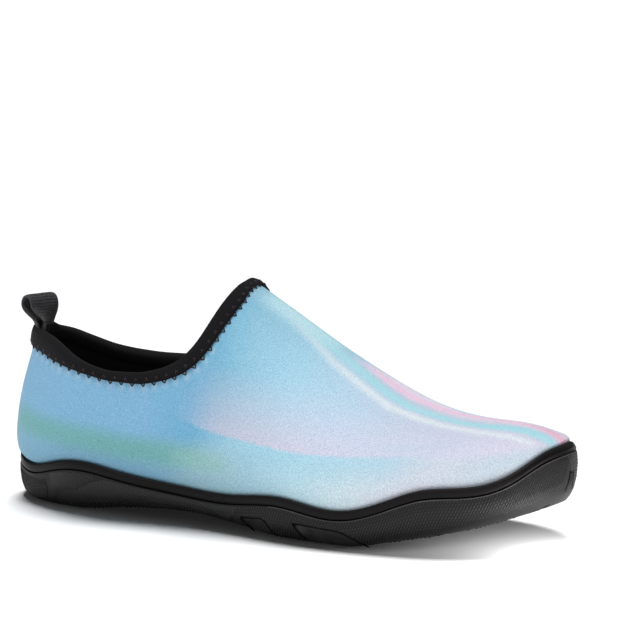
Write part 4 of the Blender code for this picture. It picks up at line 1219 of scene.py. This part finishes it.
TURQUOISE_PATH = [
    (132, 2.4, 79.0), (139.2, 1.1, 74.5), (146.1, 0.7, 70.2), (154.0, -1.5, 65.4), (164.1, -3.9, 59.7),
    (174.0, -6.1, 54.3), (183.1, -6.7, 50.3), (191.1, -5.2, 47.9), (199.7, -4.8, 46.1), (217.2, -5.3, 45.0),
    (233.7, -3.8, 43.9), (240.8, -5.5, 42.4), (246.4, -6.6, 40.7),
]
PINK_PATH = [
    (150.5, 5.4, 67.8), (159.5, 5.3, 62.8), (169.2, 3.7, 57.7), (178.8, 2.2, 53.0), (186.7, 4.1, 49.9),
    (194.9, 5.4, 47.6), (202.8, 7.1, 46.1), (211.3, 7.6, 45.5), (220.6, 6.3, 45.5), (229.4, 5.7, 44.9),
    (236.2, 5.1, 43.7), (242.5, 2.4, 42.5), (247.0, -1.2, 41.5),
]


def print_colours(points):
    """The soft colours of the print with its painted highlight and shade, and the wedge's own colour, at each point of
    the outer face.
    """
    x, y, z = points.T
    edge = np.interp(x, WEDGE_EDGE[:, 0], WEDGE_EDGE[:, 1])
    border = np.where(x < 96, 32, 32 + (edge - 32) * smooth_step(x, 96, 130))
    colours = blended(x, LOW_BLEND)
    high = smooth_step(z, border - 5, border + 5)
    colours += (blended(x, HIGH_BLEND) - colours) * high[:, None]
    mirrored = points * (1, -1, 1) + (0, 10, 0)
    for side in (points, mirrored):
        colours = painted(colours, GREEN, 0.75 * stroke(side, on_cloth(GREEN_PATH), 4.6, 4.0, (6, 26)))
        colours = painted(colours, OLIVE, 0.6 * stroke(side, on_cloth(OLIVE_PATH), 3.4, 3.2, (18, 14)))
    under_wedge = smooth_step(edge - z, 14, 1) * smooth_step(x, 98, 128) * (1 - smooth_step(x, 186, 215))
    colours = painted(colours, CYAN, 0.6 * under_wedge * (z < edge + 4))
    # Painted shade: a grey near the rim towards the toe, where the cloth turns under towards the sole.
    foot = smooth_step(z - np.interp(x, RIM[:, 0], RIM[:, 1]), 6, 0) * smooth_step(x, 205, 232)
    colours = painted(colours, RIM_SHADE_GREY, 0.5 * foot)
    # Lavender print past the ridge, brightened into a painted highlight where the cloth turns away from the light.
    colours = painted(colours, LAVENDER_AND_HIGHLIGHT, 0.9 * smooth_step(y, -2, 7) * smooth_step(x, 150, 168) * smooth_step(z, 38, 44))
    # Painted highlight: a pale cyan glow along the ridge behind the throat, where the cloth turns away from the light.
    colours = painted(colours, PAINTED_HIGHLIGHT, 0.8 * stroke(points, on_cloth(PAINTED_HIGHLIGHT_PATH), 7.0, 6.5, (14, 12)))
    streaks = np.zeros(len(points))
    for colour, path, share, half_width, soft, fade, sides in (
        (CREAM, CREAM_PATH, 0.8, 2.3, 2.2, (60, 6), (points, mirrored)),
        (TURQUOISE, TURQUOISE_PATH, 0.95, 2.6, 1.9, (26, 3), (points, mirrored)),
        (TURQUOISE, TURQUOISE_PATH[-5:], 0.85, 3.8, 2.2, (30, 2), (points, mirrored)),
        (PINK, PINK_PATH, 1.0, 2.7, 1.8, (24, 0), (points,)),
        (PINK_TIP, PINK_PATH[-5:], 0.9, 2.8, 1.8, (22, 0), (points,)),
    ):
        for side in sides:
            amount = share * stroke(side, on_cloth(path), half_width, soft, fade)
            colours = painted(colours, colour, amount)
            streaks = np.maximum(streaks, amount)
    rise = z - edge
    wedge_fade = np.clip(1 - rise / np.interp(x, WEDGE_RISE[:, 0], WEDGE_RISE[:, 1]), 0, 1)
    wedge_fade *= smooth_step(x, 84, 116) * (1 - streaks)
    return colours, blended(x, WEDGE_BLEND), rise, wedge_fade


# %% [markdown]
# ## The upper's finishes
# Outside it is printed stretch cloth over thin foam: dull, with a fine speckle where the knit shows through
# the ink, and a soft sheen at grazing angles. Inside it is plain black jersey. The speckle is a noise on
# Object coordinates, which needs no unwrapping and keeps its scale everywhere.

# %% Printed cloth and lining
cloth = Finish("printed_stretch_cloth", (0.5, 0.7, 0.85), 0.7, Sheen_Weight=0.12, Specular_IOR_Level=0.25)
soft_print = cloth.node("Attribute", attribute_name="soft_print").outputs["Color"]
wedge_print = cloth.node("Attribute", attribute_name="wedge_print").outputs["Color"]
wedge_rise = cloth.node("Attribute", attribute_name="wedge_rise").outputs["Fac"]
wedge_fade = cloth.node("Attribute", attribute_name="wedge_fade").outputs["Fac"]
ragged = cloth.ranged(cloth.noise(900), 0.3, 0.7, -0.5, 0.5)
crisp = cloth.node("Math", {0: wedge_rise, 1: ragged}, operation="ADD").outputs[0]
crisp = cloth.ranged(crisp, -0.6, 0.9, 0, 1)
wedge_amount = cloth.node("Math", {0: crisp, 1: wedge_fade}, operation="MULTIPLY").outputs[0]
ink = cloth.mixed(wedge_amount, soft_print, wedge_print)
stitch_phase = cloth.node("Attribute", attribute_name="stitch_phase").outputs["Fac"]
stitch_depth = cloth.node("Attribute", attribute_name="stitch_depth").outputs["Fac"]
turn = cloth.node("Math", {0: stitch_phase, 1: 2 * math.pi}, operation="MULTIPLY").outputs[0]
pulled = cloth.ranged(cloth.node("Math", {0: turn}, operation="COSINE").outputs[0], -1, 1, 0, 1)
pucker_and_highlight = cloth.node("Math", {0: pulled, 1: cloth.ranged(stitch_depth, 0.3, 4.2, 1, 0)}, operation="MULTIPLY").outputs[0]
# Painted highlight: the cloth is lightened on the small puckers under each stitch, where they would catch the light;
# the same wave bumps them below.
ink = cloth.mixed(cloth.ranged(pucker_and_highlight, 0.0, 1.0, 0.0, 0.4), ink, (*srgb(205, 226, 240), 1))
speckle = cloth.noise(2500, 1)
light_ink = cloth.mixed(1.0, ink, (1.2, 1.15, 1.1, 1), "MULTIPLY")
dark_ink = cloth.mixed(1.0, ink, (0.76, 0.82, 0.88, 1), "MULTIPLY")
cloth.link(cloth.mixed(cloth.ranged(speckle, 0.34, 0.66, 0, 1), dark_ink, light_ink), "Base Color")
cloth.link(cloth.ranged(speckle, 0.3, 0.7, 0.62, 0.78), "Roughness")
knit_and_puckers = cloth.node("Math", {0: pucker_and_highlight, 1: -2.5, 2: speckle}, operation="MULTIPLY_ADD").outputs[0]
cloth.bump(knit_and_puckers, 0.35, 0.14)

lining = Finish("black_jersey_lining", srgb(20, 20, 22), 0.85, Sheen_Weight=0.05, Specular_IOR_Level=0.2)
jersey = lining.noise(1400, 2, (1, 1, 2.2))
lining.link(lining.mixed(jersey, (*srgb(14, 14, 16), 1), (*srgb(27, 27, 29), 1)), "Base Color")
lining.link(lining.ranged(jersey, 0.3, 0.7, 0.78, 0.92), "Roughness")
lining.bump(jersey, 0.4, 0.15)

# %% [markdown]
# ## The upper
# The upper is cut and bonded, then pulled over the last, so it is smooth and full, with no folds. Its outer
# face is a grid on the last's arches. Solidify gives it the thickness of cloth and foam inwards, with the
# lining as the material of the inner face.

# %% Outer face
ARCH_ROWS = 62
CUP_SHARES = (0.0, 0.5)


def upper_faces_and_points():
    ks = np.arange(last.size)
    shares = (np.arange(ARCH_ROWS + 1) / ARCH_ROWS) ** 1.25
    columns = [last.in_cup(ks, share) for share in CUP_SHARES]
    columns += [last.arch(ks, last.end * share) for share in shares]
    grid = np.stack(columns, 1)
    rows = grid.shape[1]
    number = np.arange(last.size * rows).reshape(last.size, rows)
    for k in range(last.count + 1, last.size):
        if last.end[k] == 1.0:
            number[k, -1] = number[last.size - k, -1]
    faces = []
    for k in range(last.size):
        after = (k + 1) % last.size
        for row in range(rows - 1):
            corners = [number[k, row], number[after, row], number[after, row + 1], number[k, row + 1]]
            faces.append(tuple(int(c) for i, c in enumerate(corners) if c != corners[i - 1]))
    used, index = np.unique(number, return_inverse=True)
    points = grid.reshape(-1, 3)[used]
    fresh = {int(old): new for new, old in enumerate(used)}
    faces = [tuple(fresh[c] for c in face) for face in faces]
    edge = {k: fresh[int(number[k, -1])] for k in range(last.size) if last.x[k] <= THROAT_X + 1e-6}
    return points, faces, edge


upper_points, upper_faces, collar_edge = upper_faces_and_points()
upper_skin = new_object("upper_skin", upper_points, upper_faces)
face_outwards(upper_skin)


def collar_order():
    """The corners of the collar's edge, walked from the throat down the outer side and back up the inner."""
    outer = sorted((k for k in collar_edge if k <= last.count), key=lambda k: -k)
    inner = sorted((k for k in collar_edge if k > last.count), key=lambda k: -k)
    found = [collar_edge[k] for k in outer + inner]
    return [v for i, v in enumerate(found) if v not in found[:i]]


order = collar_order()
collar_line = upper_points[order + order[:1]]
under_collar, collar_place, collar_length = along_line(upper_points, collar_line)
STITCHES = round(collar_length / 4.6)
share_round = np.linspace(0, 1, 400)
phase_round = STITCHES * (share_round + 0.035 * np.sin(2 * np.pi * share_round))
stitch_phase = np.interp(np.minimum(collar_place, collar_length - collar_place) / collar_length, share_round, phase_round)
stitch_depth = under_collar - level(TAPE_DEPTH, 1, upper_points[:, 0])
soft, wedge, rise, fade = print_colours(upper_points)
for name, values in (("soft_print", soft), ("wedge_print", wedge)):
    layer = upper_skin.data.attributes.new(name, "FLOAT_COLOR", "POINT")
    layer.data.foreach_set("color", np.column_stack([values, np.ones(len(values))]).ravel())
for name, values in (("wedge_rise", rise), ("wedge_fade", fade), ("stitch_phase", stitch_phase),
                     ("stitch_depth", stitch_depth)):
    layer = upper_skin.data.attributes.new(name, "FLOAT", "POINT")
    layer.data.foreach_set("value", values)
upper_skin.data.materials.append(cloth.material)
upper_skin.data.materials.append(lining.material)
wall = upper_skin.modifiers.new("cloth_and_foam", "SOLIDIFY")
wall.thickness = UPPER_WALL * MM
wall.offset = -1
wall.use_even_offset = True
wall.use_quality_normals = True
wall.material_offset = 1
wall.material_offset_rim = 1
print("upper:", len(upper_faces), "faces on the outer side")

# %% Faces that the tape is sewn to
graph = bpy.context.evaluated_depsgraph_get()
solid_cloth = upper_skin.evaluated_get(graph).to_mesh()
skin_count = len(upper_points)
cloth_points = [v.co.copy() for v in solid_cloth.vertices]
sides_of_cloth = {"out": [], "in": []}
for face in solid_cloth.polygons:
    corners = list(face.vertices)
    if max(corners) < skin_count:
        sides_of_cloth["out"].append(corners)
    elif min(corners) >= skin_count:
        sides_of_cloth["in"].append(corners)
outer_cloth, inner_cloth = (BVHTree.FromPolygons(cloth_points, sides_of_cloth[side]) for side in ("out", "in"))
inner_points = cloth_points[skin_count:]
upper = made_real(upper_skin, "upper_cloth")
finish_piece(upper, ["upper"], sharp=60)

# %% [markdown]
# ## The collar's tape
# A knitted tape is folded over the raw edge of the cloth, one leg outside and one inside. To make it, the
# edge is walked in small steps. Each step has a place on the outer face, one on the inner face, and a way
# down the cloth, and the fold's section is set there.


# %% Walk round the collar
def evened(loop, spacing):
    """A closed loop of pairs of points, taken at even steps."""
    pairs = np.array([[*a, *b] for a, b in loop])
    pairs = np.concatenate([pairs, pairs[:1]])
    run = np.concatenate([[0], np.cumsum(np.linalg.norm(np.diff(pairs[:, :3], axis=0), axis=1))])
    at = np.linspace(0, run[-1], int(run[-1] / spacing), endpoint=False)
    even = np.stack([np.interp(at, run, pairs[:, c]) for c in range(6)], 1)
    return [(Vector(row[:3]), Vector(row[3:])) for row in even], run[-1]


def smoothed(vectors, passes):
    rows = np.array(vectors)
    for _ in range(passes):
        rows = np.roll(rows, 1, 0) + 2 * rows + np.roll(rows, -1, 0)
        rows /= np.linalg.norm(rows, axis=1)[:, None]
    return [Vector(row) for row in rows]


TAPE_STEP = 1.6
edge_pairs, collar_run = evened([(cloth_points[v], inner_points[v]) for v in order], TAPE_STEP * MM)
steps = len(edge_pairs)
tape_out = smoothed([(a - b).normalized() for a, b in edge_pairs], 6)
tape_down = []
for i, (a, b) in enumerate(edge_pairs):
    along = (edge_pairs[(i + 1) % steps][0] - edge_pairs[i - 1][0]).normalized()
    down = along.cross(tape_out[i]).normalized()
    misses = [outer_cloth.find_nearest(a + way * 3 * MM)[3] for way in (down, -down)]
    tape_down.append(down if misses[0] < misses[1] else -down)
tape_down = smoothed(tape_down, 8)
print("collar:", round(collar_run / MM), "mm round, in", steps, "steps")


# %% Fold the tape over it
def down_the_cloth(tree, starts, ways_out, depths):
    """Where the cloth's face lies that far down from its edge, and the way out of it there."""
    found, normals = [], []
    for start, down, out, depth in zip(starts, tape_down, ways_out, depths):
        near, normal, _, _ = tree.find_nearest(start + down * depth * MM)
        found.append(near)
        normals.append(normal if normal.dot(out) > 0 else -normal)
    return found, smoothed(normals, 30)


edge_out, edge_in = [a for a, _ in edge_pairs], [b for _, b in edge_pairs]
depth_out = level(TAPE_DEPTH, 1, np.array([from_frame(a)[0] for a in edge_out]))
for _ in range(4):
    depth_out = (np.roll(depth_out, 1) + 2 * depth_out + np.roll(depth_out, -1)) / 4
depth_in = np.full(steps, TAPE_DEPTH_IN)
inwards = [-out for out in tape_out]
gap, full = TAPE_GAP * MM, (TAPE_GAP + TAPE_CLOTH) * MM
gap_in, full_in = TAPE_GAP_IN * MM, (TAPE_GAP_IN + TAPE_CLOTH) * MM
low_out, low_out_n = down_the_cloth(outer_cloth, edge_out, tape_out, depth_out)
mid_out, mid_out_n = down_the_cloth(outer_cloth, edge_out, tape_out, depth_out / 2)
low_in, low_in_n = down_the_cloth(inner_cloth, edge_in, inwards, depth_in)
mid_in, mid_in_n = down_the_cloth(inner_cloth, edge_in, inwards, depth_in / 2)
tape_rows = []
for i in range(steps):
    a, b, out, down = edge_out[i], edge_in[i], tape_out[i], tape_down[i]
    edge_x, edge_y, _ = from_frame(a)
    lump = 1.8 * MM * smooth_step(-abs(edge_y - 2), -12, -6) * smooth_step(-edge_x, -14, -8)
    tape_rows.append([
        low_out[i] + low_out_n[i] * gap * 0.3,
        low_out[i] + low_out_n[i] * full * 0.8 + down * 0.2 * MM,
        mid_out[i] + mid_out_n[i] * full * 1.15,
        a + out * full,
        a + out * full * 0.5 - down * (full * 0.9 + lump),
        b - out * full * 0.5 - down * (full * 0.9 + lump),
        b - out * full_in,
        mid_in[i] + mid_in_n[i] * full_in,
        low_in[i] + low_in_n[i] * full_in * 0.9,
        low_in[i] + low_in_n[i] * gap_in * 0.5,
        mid_in[i] + mid_in_n[i] * gap_in,
        b - out * gap_in,
        b - down * gap,
        a - down * gap,
        a + out * gap,
        mid_out[i] + mid_out_n[i] * gap * 1.2,
    ])
tape_section = len(tape_rows[0])
tape_mesh = bpy.data.meshes.new("collar_tape")
tape_faces = quads(steps, tape_section, True)
tape_faces += [((steps - 1) * tape_section + j, (steps - 1) * tape_section + (j + 1) % tape_section,
                (j + 1) % tape_section, j) for j in range(tape_section)]
tape_mesh.from_pydata([p for row in tape_rows for p in row], [], tape_faces)
tape_layer = tape_mesh.uv_layers.new(name="tape")
for face_number, face in enumerate(tape_mesh.polygons):
    step, j = divmod(face_number, tape_section)
    for loop_number in face.loop_indices:
        vertex = tape_mesh.loops[loop_number].vertex_index
        row, column = divmod(vertex, tape_section)
        row = row if row or step < steps - 1 else steps
        column = column if column or j < tape_section - 1 else tape_section
        tape_layer.data[loop_number].uv = (row * TAPE_STEP * MM, column * 1.1 * MM)
collar_tape = bpy.data.objects.new("collar_tape", tape_mesh)
bpy.context.scene.collection.objects.link(collar_tape)
face_outwards(collar_tape)
rounding = collar_tape.modifiers.new("rounded_fold", "SUBSURF")
rounding.levels = rounding.render_levels = 1
print("tape:", len(tape_faces), "faces before rounding")

# %% [markdown]
# ## The tape's finish
# Knitted polyester tape is a dull black with a fine herring-bone of loops. Two waves that cross on the tape's
# own UV map give the loops. The little brown in the lower half, where the sewing pulls the yarn, is thread laid
# on with the zigzag below.

# %% Tape material
tape = Finish("black_knitted_tape", srgb(20, 19, 22), 0.85, Sheen_Weight=0.03, Specular_IOR_Level=0.15)
tape_place = tape.node("TexCoord").outputs["UV"]
loops_one = tape.node("TexWave", {"Vector": tape.node("Mapping", {
    "Vector": tape_place, "Rotation": (0, 0, math.radians(38))}).outputs[0], "Scale": 520}).outputs["Fac"]
loops_two = tape.node("TexWave", {"Vector": tape.node("Mapping", {
    "Vector": tape_place, "Rotation": (0, 0, math.radians(-38))}).outputs[0], "Scale": 520}).outputs["Fac"]
knit = tape.node("Math", {0: loops_one, 1: loops_two}, operation="MULTIPLY").outputs[0]
tape.link(tape.mixed(knit, (*srgb(12, 11, 13), 1), (*srgb(32, 30, 34), 1)), "Base Color")
tape.link(tape.ranged(knit, 0, 1, 0.92, 0.72), "Roughness")
tape.bump(knit, 0.5, 0.2)
collar_tape.data.materials.append(tape.material)
collar_tape = made_real(collar_tape, "collar_tape")
finish_piece(collar_tape, ["collar_binding"], sharp=70)

# %% [markdown]
# ## Zigzag sewing
# The tape is held by a zigzag. Its loops poke out under the tape's edge onto the blue cloth, and on the tape
# itself small slanting threads show brown and purple where the yarn wraps. Each stitch is a short bent line
# laid on the cloth, and the bar tree turns the lines into thread.


# %% Stitch lines
def on_collar(step, depth, lift):
    """A point below the collar's edge, at a step round it, lifted off the cloth."""
    i = math.floor(step)
    here, there, share = i % steps, (i + 1) % steps, step - i
    start = edge_out[here].lerp(edge_out[there], share)
    down = tape_down[here].lerp(tape_down[there], share)
    near, normal, _, _ = outer_cloth.find_nearest(start + down * depth * MM)
    if normal.dot(tape_out[here]) < 0:
        normal = -normal
    return from_frame(near + normal * lift * MM)


def stitch_line(centre, shape):
    """A bent thread: each place has a step along the collar, a depth under the tape's edge and a lift."""
    tape_edge = float(np.interp(centre % steps, np.arange(steps), depth_out))
    return [on_collar(centre + side, tape_edge + depth, lift) for side, depth, lift in shape]


loop_shape = ((-0.55, -0.6, 1.0), (-0.5, -0.1, 0.4), (-0.08, 0.95, 0.2), (0.08, 0.95, 0.2), (0.5, -0.1, 0.4),
              (0.55, -0.6, 1.0))
mark_shape = ((-0.3, -1.1, 1.62), (-0.12, -1.9, 1.66), (0, -2.3, 1.68), (0.12, -1.9, 1.66), (0.3, -1.1, 1.62))
loop_lines, mark_lines = [], []
for stitch in range(STITCHES):
    centre, between = steps * np.interp((stitch, stitch + 0.5), phase_round, share_round)
    loop_lines.append(stitch_line(centre, loop_shape))
    mark_lines.append(stitch_line(between, mark_shape))
thread = Finish("black_thread", srgb(12, 12, 13), 0.6, Sheen_Weight=0.1, Specular_IOR_Level=0.3)
thread.link(thread.ranged(thread.noise(4000), 0.3, 0.7, 0.5, 0.7), "Roughness")
thread.bump(thread.noise(5000), 0.3, 0.05)
brown_thread = Finish("brown_and_purple_thread", srgb(110, 70, 60), 0.6, Sheen_Weight=0.1)
yarn_colour = brown_thread.noise(130, 1)
brown_thread.link(brown_thread.mixed(brown_thread.ranged(yarn_colour, 0.4, 0.6, 0, 1), (*srgb(72, 44, 38), 1),
                                     (*srgb(66, 56, 78), 1)), "Base Color")
brown_thread.bump(brown_thread.noise(5000), 0.3, 0.05)
zigzag = grown(lines_guide("zigzag_guide", loop_lines), BARS, "zigzag_loops", Radius=0.24 * MM, Sides=6,
               Material=thread.material)
finish_piece(zigzag, sharp=70)
marks = grown(lines_guide("marks_guide", mark_lines), BARS, "tape_threads", Radius=0.1 * MM, Sides=5,
              Material=brown_thread.material)
finish_piece(marks, sharp=70)

# %% [markdown]
# ## The pull loop
# The loop is a strip of ribbed webbing, folded double and caught inside the heel, which flips back a little as
# it rises. It is a path with a flat section. The ribs run across it, so they are real: the section grows and
# shrinks along the path once for each rib, except in the two smooth edges.

# %% Webbing
LOOP = np.array([
    (-4.3, 0.3), (-4.6, 2.2), (-5.5, 5.0), (-6.4, 7.8), (-6.6, 10.4), (-5.8, 12.5), (-4.2, 13.6), (-2.3, 13.4),
    (-0.9, 12.2), (-0.2, 9.6), (-0.1, 6.6), (-0.5, 3.6), (-1.4, 0.3),
])
LOOP_SIDE, LOOP_TWIST = -3.2, math.radians(22)
RIB_PITCH, RIB_DEPTH = 1.15, 0.3


def webbing_points():
    top = last.arch(0, last.end[0])
    inside = -(UPPER_WALL + TAPE_GAP_IN + TAPE_CLOTH)
    near_heel = np.arange(-40, 41)
    heel = last.arch(near_heel, last.end[near_heel], inside)
    heel = heel[np.argsort(heel[:, 1])]
    run = np.concatenate([[0], np.cumsum(np.linalg.norm(np.diff(LOOP, axis=0), axis=1))])
    table = np.column_stack([run, LOOP])
    rows = int(run[-1] / RIB_PITCH * 6)
    at = np.linspace(0, run[-1], rows)
    line = np.stack([flowing(table, 1, at), flowing(table, 2, at)], 1)
    along = np.gradient(line, axis=0)
    across = np.stack([-along[:, 1], along[:, 0]], 1)
    across /= np.linalg.norm(across, axis=1)[:, None]
    inner_face, middle = heel[:, 0].min(), top[1] + LOOP_SIDE
    sides = np.concatenate([np.linspace(-0.5, 0.5, 19)]) * WEBBING_WIDTH
    edge = smooth_step(abs(sides), WEBBING_WIDTH / 2, WEBBING_WIDTH / 2 - 1.1)
    ribbed = smooth_step(abs(sides), WEBBING_WIDTH / 2 - 0.8, WEBBING_WIDTH / 2 - 1.8)
    points = []
    for p, t, place in zip(line, across, at):
        turned = smooth_step(p[1], 2.5, 10.0)
        twist = LOOP_TWIST * turned
        wave = np.sin(2 * np.pi * (place + 0.12 * np.sin(sides * 1.1)) / RIB_PITCH)
        half = WEBBING_THICKNESS / 2 * (0.55 + 0.45 * edge) + RIB_DEPTH * ribbed * (wave - 0.4) * 0.5
        for sign in (1, -1):
            for side, thick in list(zip(sides, half))[::sign]:
                forward, rise = p + t * sign * thick
                hug = (np.interp(middle + side, heel[:, 1], heel[:, 0]) - inner_face) * (1 - turned)
                x = (forward + hug) * math.cos(twist) + side * math.sin(twist)
                y = side * math.cos(twist) - (forward + hug) * math.sin(twist)
                points.append((inner_face + x, middle + y, top[2] + rise))
    return points, rows, 2 * len(sides)


loop_points, loop_rows, loop_ring = webbing_points()
loop_faces = quads(loop_rows, loop_ring, True)
loop_faces.append(tuple(range(loop_ring)))
loop_faces.append(tuple((loop_rows - 1) * loop_ring + j for j in range(loop_ring))[::-1])
pull_loop = new_object("webbing_loop", loop_points, loop_faces)
face_outwards(pull_loop)
webbing = Finish("black_ribbed_webbing", srgb(30, 30, 32), 0.7, Sheen_Weight=0.1, Specular_IOR_Level=0.35)
yarn = webbing.noise(2600, 2)
webbing.link(webbing.mixed(webbing.ranged(yarn, 0.35, 0.65, 0, 1), (*srgb(24, 24, 26), 1), (*srgb(66, 66, 70), 1)), "Base Color")
webbing.link(webbing.ranged(yarn, 0.3, 0.7, 0.6, 0.8), "Roughness")
webbing.bump(yarn, 0.4, 0.12)
pull_loop.data.materials.append(webbing.material)
finish_piece(pull_loop, ["pull_loop"], sharp=70)

# %% [markdown]
# ## The insole
# A flat sheet of foam, faced with black cloth, lies on the cup's floor. Its top edge is rounded by the knife
# and the pressing, so its side is built from five rings.

# %% Insole sheet
insole_points = []
insole_profile = ((0.0, 0.3), (0.0, 0.9), (0.0, 2.6), (-0.35, 3.3), (-1.0, 3.65), (-1.9, 3.8))
for inset, height in insole_profile:
    xy = last.ring(-(UPPER_WALL + GAP + 0.5) + inset)
    insole_points += ringed(xy, level(BASE, FLOOR, xy[:, 0]) + height)
insole_faces = quads(len(insole_profile), last.size, True)
fill_ring(insole_points, insole_faces, 0, 4, lambda x: level(BASE, FLOOR, x) + insole_profile[0][1])
last_ring = (len(insole_profile) - 1) * last.size
fill_ring(insole_points, insole_faces, last_ring, 8, lambda x: level(BASE, FLOOR, x) + insole_profile[-1][1])
insole = new_object("insole_sheet", insole_points, insole_faces)
face_outwards(insole)
foam = Finish("black_insole_cloth", srgb(18, 18, 20), 0.9, Sheen_Weight=0.05, Specular_IOR_Level=0.2)
weave = foam.noise(1100, 2)
foam.link(foam.mixed(weave, (*srgb(13, 13, 15), 1), (*srgb(25, 25, 27), 1)), "Base Color")
foam.link(foam.ranged(weave, 0.3, 0.7, 0.82, 0.95), "Roughness")
foam.bump(weave, 0.5, 0.2)
insole.data.materials.append(foam.material)
finish_piece(insole, ["insole"])
